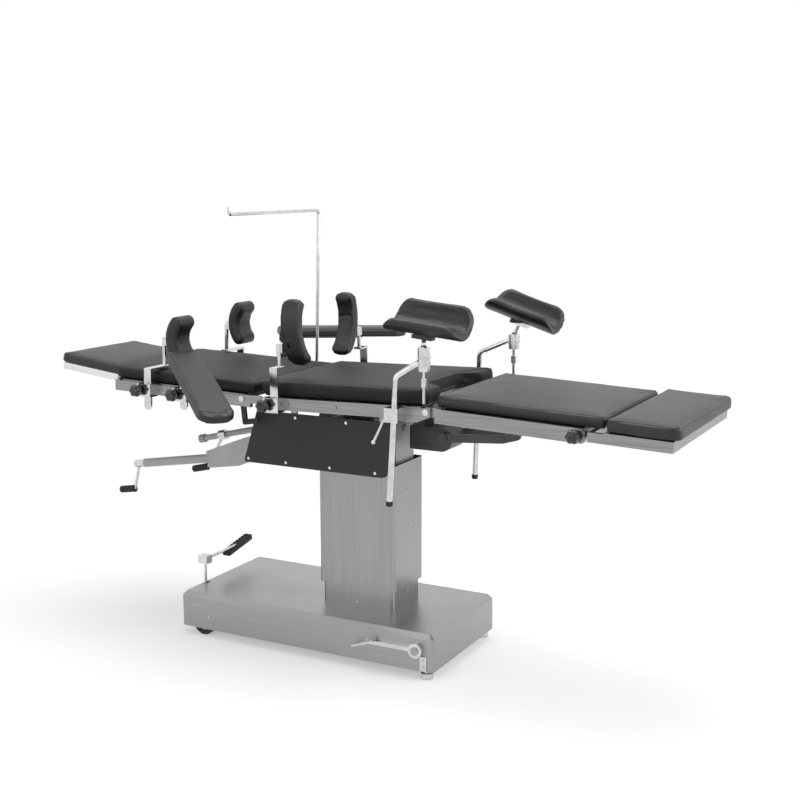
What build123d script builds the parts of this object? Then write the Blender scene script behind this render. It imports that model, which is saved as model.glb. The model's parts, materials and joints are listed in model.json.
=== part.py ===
from build123d import *
import math
import os

os.makedirs("parts", exist_ok=True)

# Operating table, photographed pose. Millimetres, +Z up, +X to the foot end,
# -Y the near side. The origin is on the floor under the middle of the column.

# General clearances and counts
overrun = 4.0
run_gap = 0.05
seat_gap = 0.3
free_gap = 1.2
both_sides = (-1, 1)

# Rest angles of the sections, in degrees from level
seat_rise = 1.4
back_rise = 1.6
head_rise = 6.3
leg_drop = 2.2
right_angle = 90

# Base
base_head_x = -574.0
base_length = 895.0
base_width = 436.0
base_bottom = 26.0
base_top = 138.0
base_bevel = 14.0
base_corner = 18.0
base_wall = 2.5
plate_thick = 8.0
plate_z = 34.0

# Wheels and their axles
wheel_radius = 38.0
wheel_width = 26.0
wheel_axle_radius = 7.0
wheel_inset = 76.0
foot_wheel_inset = 116.0
wheel_sides = {"head": 190.0, "foot": 80.0}
wheel_flange = 5.0
wheel_window_gap = 9.0
wheel_chamfer = 4.0
ear_thick = 8.0
ear_radius = 15.0

# Floor jacks and the brake pedal
jack_x = 292.0
jack_side = 194.0
jack_radius = 9.0
jack_foot_radius = 19.0
jack_foot_height = 18.0
jack_top = 84.0
jack_guide_radius = 17.0
jack_guide_height = 26.0
brake_x = 269.0
brake_z = 90.0
brake_boss_radius = 22.0
brake_boss_length = 13.0
brake_bar_height = 12.0
brake_bar_thick = 8.0
brake_reach = 165.0
brake_tread_length = 76.0
brake_tread_width = 34.0
brake_tread_thick = 6.0
brake_tread_tilt = 20.0
brake_pin_radius = 8.0
brake_pin_head = 12.0
brake_pin_cap = 4.0

# Lifting pedal
pump_x = -550.0
pump_side = -117.0
pump_pivot_drop = 24.0
pump_post_radius = 4.5
pump_post_top = 206.0
pump_hub_radius = 9.0
pump_hub_length = 16.0
pump_axle_radius = 4.0
pump_lug_thick = 4.0
pump_slot_length = 24.0
pump_slot_width = 14.0
pump_clamp_height = 26.0
pump_clamp_length = 34.0
pump_clamp_width = 30.0
pump_arm_radius = 5.5
pump_arm_length = 165.0
pump_tread_length = 138.0
pump_tread_width = 30.0
pump_tread_thick = 15.0
pump_tread_tilt = 11.0
pump_rib_depth = 2.5
pump_rib_count = 9

# Column
lower_shroud_x = 245.0
lower_shroud_y = 174.0
lower_shroud_top = 450.0
upper_shroud_x = 264.0
upper_shroud_y = 184.0
upper_shroud_bottom = 202.0
upper_shroud_top = 588.5
shroud_wall = 2.5
shroud_corner = 11.0
cylinder_radius = 50.0
ram_radius = 38.0
cylinder_top = 440.0
cylinder_foot = 14.0
ram_bottom = 200.0
head_plate_z = 556.0
head_plate_thick = 14.0
tilt_z = 690.0
cheek_x = 110.0
cheek_thick = 8.0
cheek_half_width = 57.0
cheek_top = 708.0
cheek_corner = 16.0
shaft_radius = 12.0
cradle_half = 30.0
cradle_height = 44.0
shaft_collar_radius = 19.0
shaft_collar_length = 12.0
shaft_end = 7.0

# Tabletop widths and levels, before the sections are tilted
top_half_width = 242.5
side_gap = 0.5
rail_thick = 12.0
rail_height = 36.0
frame_top = 801.0
tray_thick = 3.0
pad_corner = 14.0
cross_width = 20.0
cross_height = 22.0
cross_drop = 10.0

# Seat section
seam_x = -253.5
seat_pad_end = 314.0
seat_pad_thick = 49.5
seat_rail_start = -214.0
seat_rail_end = 234.0
seat_tray_start = -190.0
seat_tray_end = 300.0
seat_horn_corner = 30.0
cutout_depth = 66.0
cutout_mouth = 290.0
cutout_floor = 190.0
cutout_corner = 26.0
hanger_inner = 64.0
hanger_thick = 8.0
hanger_half_length = 52.0
hanger_foot = 18.0
seat_cross_xs = (-150.0, -42.0, 42.0, 150.0, 212.0)
rail_bolt_radius = 7.0
rail_bolt_head = 2.5
rail_bolt_xs = (-133.0, 28.0, 196.0)

# Back hinge
back_hinge_set = 34.0
back_hinge_z = 793.0
hinge_ear_thick = 6.0
hinge_ear_radius = 12.0
hinge_pin_radius = 6.0
hinge_pin_head_radius = 9.0
hinge_pin_head = 4.0

# Back section
back_pad_start = -813.5
back_pad_thick = 41.0
back_rail_start = -771.5
back_rail_end = -260.5
back_rail_height = 32.0
back_pad_corner = 58.0
back_tray_start = -770.0
back_cross_xs = (-761.0, -560.0, -330.0)
stub_length = 56.0
stub_height = 24.0
set_screw_radius = 5.0
set_screw_height = 7.0

# Lever under the back hinge
lever_top_x = -299.0
lever_top_z = 787.0
lever_knee_x = -290.0
lever_knee_z = 719.0
lever_end_x = -250.0
lever_end_z = 727.0
lever_width = 16.0
lever_thick = 8.0
lever_bolt_radius = 6.0

# Head section
head_pad_start = -1066.0
head_pad_half_width = 189.0
head_pad_thick = 35.0
head_pad_corner = 26.0
head_hinge_set = 24.0
head_hinge_z = 789.0
head_bar_outer = 181.0
head_bar_thick = 13.0
head_bar_top = 804.0
head_bar_height = 22.0
head_bar_set = 14.0
head_lug_thick = 9.0
head_lug_radius = 12.0
head_lug_knee = 8.0
head_lug_run = 45.0
head_lug_drop = 23.0
head_pin_radius = 6.0

# Leg section
leg_hinge_x = 323.5
leg_hinge_z = 789.0
leg_pad_start = 338.0
leg_pad_end = 829.0
leg_pad_thick = 39.0
leg_rail_start = 347.0
leg_rail_end = 772.0
leg_rail_top = 797.0
leg_rail_height = 37.0
leg_tray_top = 800.0
leg_cross_xs = (364.0, 560.0, 760.0)
leg_ear_radius = 13.0
bracket_start = 234.0
bracket_thick = 8.0
bracket_height = 58.0
bracket_drop = 30.0

# Foot section
foot_pad_start = 835.5
foot_pad_end = 1036.5
foot_pad_half_width = 275.0
foot_pad_thick = 41.0
foot_pad_corner = 34.0
foot_bar_start = 792.0
foot_bar_end = 1017.0
foot_bar_outer = 273.0
foot_bar_thick = 14.0
foot_bar_height = 26.0
foot_rod_side = 222.0
foot_rod_radius = 9.0
foot_rod_start = 436.0
foot_rod_z = 779.0
socket_length = 44.0
socket_depth = 13.0
socket_height = 30.0

# Soft shapes
pad_crown = 5.0
pad_draw = 4.0

# Skirts and their screws
skirt_outer = 200.0
skirt_thick = 3.0
skirt_top_head_x = -279.0
skirt_low_head_x = -330.0
skirt_foot_x = 177.0
skirt_top_z = 743.0
skirt_low_z = 580.0
skirt_corner = 35.0
skirt_small_corner = 6.0
strap_half_spread = 150.0
strap_width = 20.0
strap_thick = 8.0
strap_low_z = 586.0
screw_radius = 4.5
screw_head = 2.0
skirt_screw_inset = 12.0
skirt_low_shares = (0.035, 0.30, 0.60, 0.90)
skirt_high_shares = (0.30, 0.68)

# Leg gearbox and its lifting arms
gearbox_start = 158.0
gearbox_end = 296.0
gearbox_half_width = 45.0
gearbox_low_z = 640.0
gearbox_high_z = 709.0
gearbox_nose = 33.0
gearbox_saddle_start = 198.0
gearbox_saddle_end = 226.0
gearbox_saddle_half = 26.0
gearbox_bolt_radius = 6.0
gearbox_bolt_shares = (0.206, 0.471)
output_x = 270.0
output_z = 682.0
output_radius = 10.0
output_head_radius = 15.0
output_head = 4.0
arm_gap = 3.0
arm_thick = 8.0
arm_bolt_x = 459.0
arm_bolt_z = 696.0
arm_tip_x = 503.0
arm_tip_z = 709.0
arm_width = 24.0
arm_roller_radius = 8.0

# Control housing and its cranks
housing_inner = 128.0
housing_low_x = -465.0
housing_nose_x = -474.0
housing_nose_z = 597.0
housing_nose_low_z = 545.0
housing_brow_x = -334.0
housing_brow_z = 651.0
housing_chin_x = -352.0
housing_chin_z = 563.0
housing_root_top_z = 690.0
housing_root_low_z = 640.0
front_side = -165.0
front_tube_z = 571.0
front_tube_end_x = -739.0
front_tube_end_z = 526.0
front_tube_radius = 14.0
crank_cap_radius = 12.5
crank_cap_length = 38.0
crank_shaft_radius = 7.0
crank_shaft_depth = 60.0
crank_arm_radius = 4.5
front_arm_x = -786.0
front_arm_z = 436.0
grip_length = 62.0
grip_radius = 12.0
grip_spindle_radius = 4.0
grip_collar_length = 14.0
grip_collar_radius = 9.0
rear_side = -20.0
rear_tube_start_x = -318.0
rear_tube_start_z = 663.0
rear_tube_end_x = -606.0
rear_tube_end_z = 594.0
rear_tube_radius = 10.0
rear_arm_x = -601.0
rear_arm_z = 499.0
rear_arm_start_share = 0.75
rear_collar_radius = 17.0
rear_collar_length = 26.0
rear_end_radius = 14.0
rear_end_length = 20.0
rear_block_length = 36.0
rear_block_height = 44.0

# Rail clamps, their knobs and the flat bars they hold
clamp_depth = 29.0
clamp_lip = 4.0
clamp_reach = 9.0
clamp_head_length = 34.0
clamp_foot_length = 17.0
bar_side = 272.0
bar_thick = 6.0
bar_width = 26.0
knob_offset = 26.0
knob_radius = 20.0
knob_length = 24.0
knob_neck_radius = 6.0
knob_neck = 7.0
knob_lobes = 6
knob_lobe_radius = 7.0

# Shoulder rests
shoulder_bar_near_x = -628.0
shoulder_bar_far_x = -664.0
shoulder_bar_low_z = 724.0
shoulder_bar_high_z = 853.0
shoulder_side = 190.0
shoulder_post_radius = 7.0
shoulder_post_height = 86.0
shoulder_pad_near_mid_z = 941.0
shoulder_pad_far_mid_z = 950.0
shoulder_pad_width = 80.0
shoulder_pad_thick = 44.0
shoulder_arc_radius = 78.0
shoulder_arc_half = 40.0
shoulder_pad_round = 11.0
shoulder_stay_height = 26.0
shoulder_stay_width = 18.0
shoulder_stay_length = 22.0

# Body supports
body_bar_near_x = -163.0
body_bar_far_x = -172.0
body_bar_low_z = 763.0
body_bar_high_z = 892.0
body_reach = 236.0
body_post_radius = 6.0
body_post_height = 66.0
body_pad_side = 200.0
body_pad_near_low_z = 884.0
body_pad_far_low_z = 874.0
body_pad_width = 62.0
body_pad_thick = 34.0
body_pad_bend = 150.0
body_arc_low = 45.0
body_arc_high = 24.4
body_pad_round = 12.0
body_pad_near_shift = 20.0
body_pad_far_shift = -14.0

# Arm boards
arm_post_near_x = -491.0
arm_post_far_x = -486.0
arm_post_low_z = 738.0
arm_post_near_high_z = 871.0
arm_post_far_high_z = 888.0
arm_pivot_radius = 8.0
arm_pivot_height = 22.0
arm_hub_radius = 17.0
arm_hub_height = 16.0
board_length = 440.0
board_width = 112.0
board_thick = 30.0
board_root_corner = 18.0
board_end_corner = 53.0
board_crown = 4.0
board_draw = 3.0
board_root_set = 22.0
board_lift = 14.0
carrier_thick = 4.0
carrier_length = 260.0
carrier_width = 70.0
near_board_yaw = -39.2
near_board_pitch = 16.0
near_board_roll = 0.0
far_board_yaw = 39.0

# Leg holders
holder_side = 290.0
holder_rod_radius = 8.5
near_rod_low = (221.0, 529.0)
near_rod_knee = (243.0, 894.0)
near_cup_x = 316.0
near_cup_side = 265.0
near_cup_z = 943.0
far_rod_low = (217.0, 484.0)
far_rod_knee = (230.0, 888.0)
far_cup_x = 348.0
far_cup_side = 285.0
far_cup_z = 941.0
rod_bend = 22.0
cup_radius = 17.0
cup_below = 32.0
near_ball_rise = 29.0
far_ball_rise = 8.0
cup_above = 4.0
ball_radius = 12.0
stem_radius = 6.0
holder_screw_radius = 4.5
holder_screw_length = 90.0
holder_screw_knob = 9.0
holder_screw_knob_length = 22.0
trough_length = 238.0
trough_radius = 55.0
trough_thick = 22.0
trough_half_angle = 78.0
trough_corner = 52.0
near_trough_shift = 9.0
near_trough_z = 1074.0
near_trough_roll = 26.0
near_trough_pitch = 5.5
near_stem_lean = 0.0
far_trough_shift = 42.0
far_trough_z = 1056.0
far_trough_roll = 11.0
far_trough_pitch = 17.7
far_stem_lean = 24.0
saddle_length = 60.0
saddle_width = 26.0
saddle_height = 10.0
holder_clamp_length = 42.0
holder_clamp_height = 40.0
holder_clamp_depth = 38.0
tommy_radius = 3.5
tommy_length = 92.0
tommy_ball_radius = 6.5
tommy_lean = 24.0

# Screen frame
screen_x = -352.0
screen_side = 266.0
screen_low_z = 742.0
screen_top_z = 1330.0
screen_reach = 500.0
screen_radius = 5.5
screen_bend = 12.0
screen_tip_rise = 10.0
screen_clamp_half = 17.0

# Worked out from the sizes above
base_foot_x = base_head_x + base_length
base_half = base_width / 2
rail_inner = top_half_width + side_gap
rail_outer = rail_inner + rail_thick
seat_rail_low = frame_top - rail_height
back_rail_low = frame_top - back_rail_height
leg_rail_low = leg_rail_top - leg_rail_height
seat_pad_low = frame_top + seat_gap
back_tray_top = frame_top + tray_thick
back_hinge_x = seam_x - back_hinge_set
head_hinge_x = back_pad_start - head_hinge_set
pump_pivot_z = base_top - pump_pivot_drop
wheel_xs = {"head": base_head_x + wheel_inset, "foot": base_foot_x - foot_wheel_inset}
bracket_outer = rail_outer + seat_gap + bracket_thick


def block(x0, x1, y0, y1, z0, z1):
    """A box between two opposite corners."""
    size = Box(abs(x1 - x0), abs(y1 - y0), abs(z1 - z0))
    return Pos((x0 + x1) / 2, (y0 + y1) / 2, (z0 + z1) / 2) * size


def rod(start, end, radius):
    """A round bar from one point to another."""
    start, end = Vector(*start), Vector(*end)
    plane = Plane(origin=start, z_dir=end - start)
    return extrude(plane * Circle(radius), amount=(end - start).length)


def bent_rod(points, radius, bend):
    """A round bar bent at its inner points."""
    path = FilletPolyline(*points, radius=bend)
    start = Plane(origin=path @ 0, z_dir=path % 0)
    return sweep(start * Circle(radius), path=path)


def plate(outline, y0, y1):
    """A closed outline of (x, z) points, thick along Y."""
    face = make_face(Polyline(*outline, close=True))
    plane = Plane(origin=(0, min(y0, y1), 0), x_dir=(1, 0, 0), z_dir=(0, -1, 0))
    return extrude(plane * face, amount=-abs(y1 - y0))


def link(points, width, y0, y1):
    """A strap of constant width with round ends, along (x, z) points."""
    body = Part()
    for (xa, za), (xb, zb) in zip(points[:-1], points[1:]):
        length = math.hypot(xb - xa, zb - za)
        angle = math.degrees(math.atan2(zb - za, xb - xa))
        middle = Pos((xa + xb) / 2, (y0 + y1) / 2, (za + zb) / 2)
        body += middle * Rot(0, -angle, 0) * Box(length, abs(y1 - y0), width)
    for x, z in points:
        body += rod((x, y0, z), (x, y1, z), width / 2)
    return body


def swell(u0, u1, v0, v1, draw, crown):
    """Section of a cushion: flat below, sides drawn in, top crowned."""
    edge = v1 - crown
    waist = (v0 + edge) / 2
    return make_face([
        Line((u0 + draw, v0), (u1 - draw, v0)),
        ThreePointArc((u1 - draw, v0), (u1, waist), (u1 - draw, edge)),
        ThreePointArc((u1 - draw, edge), ((u0 + u1) / 2, v1), (u0 + draw, edge)),
        ThreePointArc((u0 + draw, edge), (u0, waist), (u0 + draw, v0)),
    ])


def cushion(x0, x1, half, z0, z1, corners, crown, draw):
    """A cushion with a crowned top and drawn-in sides.

    corners are the plan radii at the low-x end and the high-x end."""
    along = Plane.XZ * swell(x0, x1, z0, z1, draw, crown)
    across = Plane.YZ * swell(-half, half, z0, z1, draw, crown)
    plan = block(x0, x1, -half, half, z0, z1)
    for corner, x in zip(corners, (x0, x1)):
        edges = plan.edges().filter_by(Axis.Z)
        plan = fillet([e for e in edges if abs(e.center().X - x) < overrun], corner)
    body = extrude(along, amount=half, both=True) & plan
    reach = max(abs(x0), abs(x1))
    return body & extrude(across, amount=reach, both=True)


def star_knob(x, side, z, y):
    """A lobed knob turned along Y. side is -1 near, 1 far; y is its inner face."""
    head = Cylinder(knob_radius, knob_length)
    for index in range(knob_lobes):
        turn = Rot(0, 0, index * 360 / knob_lobes)
        notch = Pos(knob_radius + knob_lobe_radius / 2, 0, 0)
        head -= turn * notch * Cylinder(knob_lobe_radius, knob_length + overrun)
    neck = y + side * knob_neck
    middle = neck + side * knob_length / 2
    head = Pos(x, middle, z) * Rot(right_angle, 0, 0) * head
    return head + rod((x, y, z), (x, neck, z), knob_neck_radius)


def turned(x, z, hinge_x, hinge_z, angle):
    """Where (x, z) goes when a section turns about +Y on its hinge."""
    c, s = math.cos(math.radians(angle)), math.sin(math.radians(angle))
    dx, dz = x - hinge_x, z - hinge_z
    return hinge_x + dx * c + dz * s, hinge_z - dx * s + dz * c


def pitched(shape, hinge_x, hinge_z, angle):
    return shape.rotate(Axis((hinge_x, 0, hinge_z), (0, 1, 0)), angle)


def in_seat(shape):
    return pitched(shape, 0, tilt_z, -seat_rise)


def in_back(shape):
    return in_seat(pitched(shape, back_hinge_x, back_hinge_z, back_rise + seat_rise))


def in_head(shape):
    return in_back(pitched(shape, head_hinge_x, head_hinge_z, head_rise - back_rise))


def in_leg(shape):
    return in_seat(pitched(shape, leg_hinge_x, leg_hinge_z, leg_drop + seat_rise))


def seat_point(x, z):
    return turned(x, z, 0, tilt_z, -seat_rise)


def back_point(x, z):
    return seat_point(*turned(x, z, back_hinge_x, back_hinge_z, back_rise + seat_rise))


def head_point(x, z):
    return back_point(*turned(x, z, head_hinge_x, head_hinge_z, head_rise - back_rise))


def leg_point(x, z):
    return seat_point(*turned(x, z, leg_hinge_x, leg_hinge_z, leg_drop + seat_rise))


nodes = {}

# Base cover: an open-bottomed sheet box with a bevelled top edge.


def cover_box(inset):
    """The cover's outside, or its inside when the wall is taken off."""
    low = base_bottom - (overrun if inset else 0)
    body = block(base_head_x + inset, base_foot_x - inset, -base_half + inset,
                 base_half - inset, low, base_top - inset)
    body = fillet(body.edges().filter_by(Axis.Z), base_corner - inset)
    rim = body.faces().sort_by(Axis.Z)[-1].edges()
    return chamfer(rim, base_bevel - inset * (2 - math.sqrt(2)))


base_cover = cover_box(0) - cover_box(base_wall)
base_cover -= Pos(0, 0, base_top) * Cylinder(cylinder_radius + free_gap, base_wall * 4)
slot_y = pump_side + pump_slot_length / 4
base_cover -= Pos(pump_x, slot_y, base_top) * Box(pump_slot_width, pump_slot_length, base_wall * 4)
for side in both_sides:
    lug_y = pump_hub_length / 2 + seat_gap
    lug_x = pump_x + side * (lug_y + pump_lug_thick / 2)
    base_cover += block(lug_x - pump_lug_thick / 2, lug_x + pump_lug_thick / 2,
                        pump_side - pump_hub_radius, pump_side + pump_hub_radius,
                        pump_pivot_z - pump_hub_radius, base_top - base_wall / 2)
axle_half = pump_hub_length / 2 + seat_gap + pump_lug_thick
base_cover += rod((pump_x - axle_half, pump_side, pump_pivot_z),
                  (pump_x + axle_half, pump_side, pump_pivot_z), pump_axle_radius)
brake_pin_end = -base_half - brake_boss_length - seat_gap - brake_pin_cap
base_cover += rod((brake_x, -base_half + base_wall, brake_z), (brake_x, brake_pin_end, brake_z),
                  brake_pin_radius)
base_cover += rod((brake_x, brake_pin_end + brake_pin_cap, brake_z),
                  (brake_x, brake_pin_end, brake_z), brake_pin_head)
nodes["base_cover"] = base_cover

# Chassis plate with wheel windows, axles and the guides of the jacks.
wheel_half = wheel_width / 2
chassis = block(base_head_x + base_wall, base_foot_x - base_wall, -base_half + base_wall,
                base_half - base_wall, plate_z, plate_z + plate_thick)
chassis = fillet(chassis.edges().filter_by(Axis.Z), base_corner - base_wall)
for side in both_sides:
    for end, wheel_x in wheel_xs.items():
        reach = wheel_radius + wheel_window_gap
        inner, outer = wheel_half + seat_gap, wheel_half + seat_gap + ear_thick
        middle = side * wheel_sides[end]
        chassis -= block(wheel_x - reach, wheel_x + reach, middle - inner, middle + inner,
                         plate_z - overrun, plate_z + plate_thick + overrun)
        for edge in both_sides:
            ear_y0, ear_y1 = middle + edge * inner, middle + edge * outer
            chassis += rod((wheel_x, ear_y0, wheel_radius), (wheel_x, ear_y1, wheel_radius),
                           ear_radius)
        chassis += rod((wheel_x, middle - outer, wheel_radius),
                       (wheel_x, middle + outer, wheel_radius), wheel_axle_radius)
    guide = Pos(jack_x, side * jack_side, plate_z) * Cylinder(
        jack_guide_radius, jack_guide_height, align=(Align.CENTER, Align.CENTER, Align.MIN))
    inner_wall = base_half - base_wall
    keep = block(jack_x - jack_guide_radius, jack_x + jack_guide_radius, -inner_wall, inner_wall,
                 plate_z, plate_z + jack_guide_height)
    chassis += guide & keep
    chassis -= rod((jack_x, side * jack_side, 0), (jack_x, side * jack_side, base_top),
                   jack_radius + run_gap)
nodes["base_chassis"] = chassis

# Wheels, each running on its axle.
for end, wheel_x in wheel_xs.items():
    for side, word in zip(both_sides, ("near", "far")):
        tyre = Cylinder(wheel_radius, wheel_width)
        tyre = chamfer(tyre.edges().filter_by(GeomType.CIRCLE), wheel_chamfer)
        tyre -= Cylinder(wheel_axle_radius + run_gap, wheel_width + overrun)
        place = Pos(wheel_x, side * wheel_sides[end], wheel_radius) * Rot(right_angle, 0, 0)
        nodes[f"{end}_wheel_{word}"] = place * tyre

# Floor jacks: a stem in its guide and a round foot on the floor.
jacks = Part()
for side in both_sides:
    y = side * jack_side
    jacks += rod((jack_x, y, 0), (jack_x, y, jack_foot_height), jack_foot_radius)
    jacks += rod((jack_x, y, jack_foot_height), (jack_x, y, jack_top), jack_radius)
nodes["floor_jacks"] = jacks

# Brake pedal: a boss on its pin, a bar to the head side and a tilted tread.
brake_y0 = -base_half - seat_gap
brake_y1 = brake_y0 - brake_boss_length
brake = rod((brake_x, brake_y0, brake_z), (brake_x, brake_y1, brake_z), brake_boss_radius)
bar_y1 = brake_y0 - brake_bar_thick
brake_tip_x = brake_x - brake_reach
brake += block(brake_tip_x, brake_x, brake_y0, bar_y1, brake_z - brake_bar_height / 2,
               brake_z + brake_bar_height / 2)
tread = Box(brake_tread_length, brake_tread_width, brake_tread_thick)
tread = fillet(tread.edges().filter_by(Axis.Z), brake_tread_thick)
brake += Pos(brake_tip_x, brake_y0 - brake_tread_width / 2, brake_z) * Rot(
    0, -brake_tread_tilt, 0) * tread
brake -= rod((brake_x, brake_y0 + overrun, brake_z), (brake_x, brake_y1 - overrun, brake_z),
             brake_pin_radius + run_gap)
nodes["brake_pedal"] = brake

# Lifting pedal: hub on its axle, post, clamp block, arm and ribbed rubber tread.
hub_half = pump_hub_length / 2
pump = rod((pump_x - hub_half, pump_side, pump_pivot_z), (pump_x + hub_half, pump_side, pump_pivot_z),
           pump_hub_radius)
pump += rod((pump_x, pump_side, pump_pivot_z), (pump_x, pump_side, pump_post_top), pump_post_radius)
pump_arm_z = pump_post_top + pump_clamp_height / 2
pump += Pos(pump_x, pump_side, pump_arm_z) * Box(pump_clamp_length, pump_clamp_width,
                                                 pump_clamp_height)
arm_end_y = pump_side + pump_clamp_width / 2 + pump_arm_length
pump += rod((pump_x, pump_side, pump_arm_z), (pump_x, arm_end_y, pump_arm_z), pump_arm_radius)
pump -= rod((pump_x - hub_half - overrun, pump_side, pump_pivot_z),
            (pump_x + hub_half + overrun, pump_side, pump_pivot_z), pump_axle_radius + run_gap)
nodes["pump_lever"] = pump
rubber = Box(pump_tread_width, pump_tread_length, pump_tread_thick)
rubber = fillet(rubber.edges().filter_by(Axis.Z), pump_rib_depth * 2)
rib_pitch = pump_tread_length / pump_rib_count
for index in range(1, pump_rib_count):
    y = -pump_tread_length / 2 + index * rib_pitch
    groove = Box(pump_tread_width + overrun, rib_pitch / 3, pump_rib_depth * 2)
    rubber -= Pos(0, y, pump_tread_thick / 2) * groove
rubber = Pos(pump_x, arm_end_y, pump_arm_z) * Rot(pump_tread_tilt, 0, 0) * rubber
rubber -= rod((pump_x, pump_side, pump_arm_z), (pump_x, arm_end_y, pump_arm_z), pump_arm_radius)
nodes["pump_pedal_pad"] = rubber

# Column: two telescoping shrouds round a cylinder and its ram.


def shroud(length_x, length_y, low, high):
    body = block(-length_x / 2, length_x / 2, -length_y / 2, length_y / 2, low, high)
    body = fillet(body.edges().filter_by(Axis.Z), shroud_corner)
    in_x, in_y = length_x / 2 - shroud_wall, length_y / 2 - shroud_wall
    hole = block(-in_x, in_x, -in_y, in_y, low - overrun, high + overrun)
    return body - fillet(hole.edges().filter_by(Axis.Z), shroud_corner - shroud_wall)


nodes["lower_shroud"] = shroud(lower_shroud_x, lower_shroud_y, base_top, lower_shroud_top)
nodes["upper_shroud"] = shroud(upper_shroud_x, upper_shroud_y, upper_shroud_bottom,
                               upper_shroud_top)
cylinder_low = plate_z + plate_thick
barrel = rod((0, 0, cylinder_low), (0, 0, cylinder_top), cylinder_radius)
barrel -= rod((0, 0, cylinder_low + cylinder_foot), (0, 0, cylinder_top + overrun),
              ram_radius + run_gap)
nodes["hydraulic_cylinder"] = barrel
nodes["column_ram"] = rod((0, 0, ram_bottom), (0, 0, head_plate_z), ram_radius)

# Column head: a plate in the shroud's mouth with two cheeks for the long shaft.
head_x = upper_shroud_x / 2 - shroud_wall
head_y = upper_shroud_y / 2 - shroud_wall
column_head = block(-head_x, head_x, -head_y, head_y, head_plate_z,
                    head_plate_z + head_plate_thick)
column_head = fillet(column_head.edges().filter_by(Axis.Z), shroud_corner - shroud_wall)
for side in both_sides:
    cheek = block(side * cheek_x, side * (cheek_x + cheek_thick), -cheek_half_width,
                  cheek_half_width, head_plate_z + head_plate_thick, cheek_top)
    top = [e for e in cheek.edges().filter_by(Axis.X) if e.center().Z > tilt_z]
    column_head += fillet(top, cheek_corner)
far_x = cheek_x + cheek_thick + overrun
column_head -= rod((-far_x, 0, tilt_z), (far_x, 0, tilt_z), shaft_radius + run_gap)
nodes["column_head"] = column_head

# Tilt cradle: a block with a long shaft along X and a cross shaft along Y.
long_end = cheek_x + cheek_thick + shaft_end
cross_end = hanger_inner + hanger_thick + shaft_end
cradle = Pos(0, 0, tilt_z) * Box(cradle_half * 2, cradle_half * 2, cradle_height)
cradle += rod((-long_end, 0, tilt_z), (long_end, 0, tilt_z), shaft_radius)
cradle += rod((0, -cross_end, tilt_z), (0, cross_end, tilt_z), shaft_radius)
for side in both_sides:
    x1 = side * (cheek_x - seat_gap)
    cradle += rod((x1, 0, tilt_z), (x1 - side * shaft_collar_length, 0, tilt_z),
                  shaft_collar_radius)
    y1 = side * (hanger_inner - seat_gap)
    cradle += rod((0, y1, tilt_z), (0, y1 - side * shaft_collar_length, tilt_z),
                  shaft_collar_radius)
nodes["tilt_cradle"] = cradle

# Seat frame: rails, cross members, tray, hangers to the cradle, hinge ears.
cross_top = frame_top - cross_drop
cross_low = cross_top - cross_height
half_cross = cross_width / 2
seat = Part()
for side in both_sides:
    seat += block(seat_rail_start, seat_rail_end, side * rail_inner, side * rail_outer,
                  seat_rail_low, frame_top)
    hanger_y = side * hanger_inner
    seat += block(-hanger_half_length, hanger_half_length, hanger_y,
                  hanger_y + side * hanger_thick, tilt_z + hanger_foot, cross_low + half_cross)
    seat += rod((0, hanger_y, tilt_z), (0, hanger_y + side * hanger_thick, tilt_z),
                hanger_foot + hanger_thick)
    seat += block(-hanger_foot, hanger_foot, hanger_y, hanger_y + side * hanger_thick, tilt_z,
                  tilt_z + hanger_foot + overrun)
for x in seat_cross_xs:
    seat += block(x - half_cross, x + half_cross, -rail_inner - side_gap, rail_inner + side_gap,
                  cross_low, cross_top)
tray_half = rail_inner + side_gap
tray = block(seat_tray_start, seat_tray_end, -tray_half, tray_half, frame_top - tray_thick,
             frame_top)
tray_beam = block(seat_tray_start, seat_tray_end, -hanger_inner, hanger_inner,
                  cross_top - half_cross, frame_top - tray_thick / 2)


def cutout(margin):
    """The U-shaped opening at the foot end of the seat, widened by a margin."""
    end = seat_pad_end + overrun * 2
    floor = seat_pad_end - cutout_depth - margin
    mouth, flat = cutout_mouth / 2 + margin, cutout_floor / 2 + margin
    outline = Polyline((end, -mouth), (floor, -flat), (floor, flat), (end, mouth), close=True)
    face = make_face(outline)
    inner = [v for v in face.vertices() if v.X < floor + overrun]
    face = fillet(inner, cutout_corner)
    height = frame_top + seat_pad_thick + overrun
    return extrude(Pos(0, 0, seat_rail_low) * face, amount=height - seat_rail_low)


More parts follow.
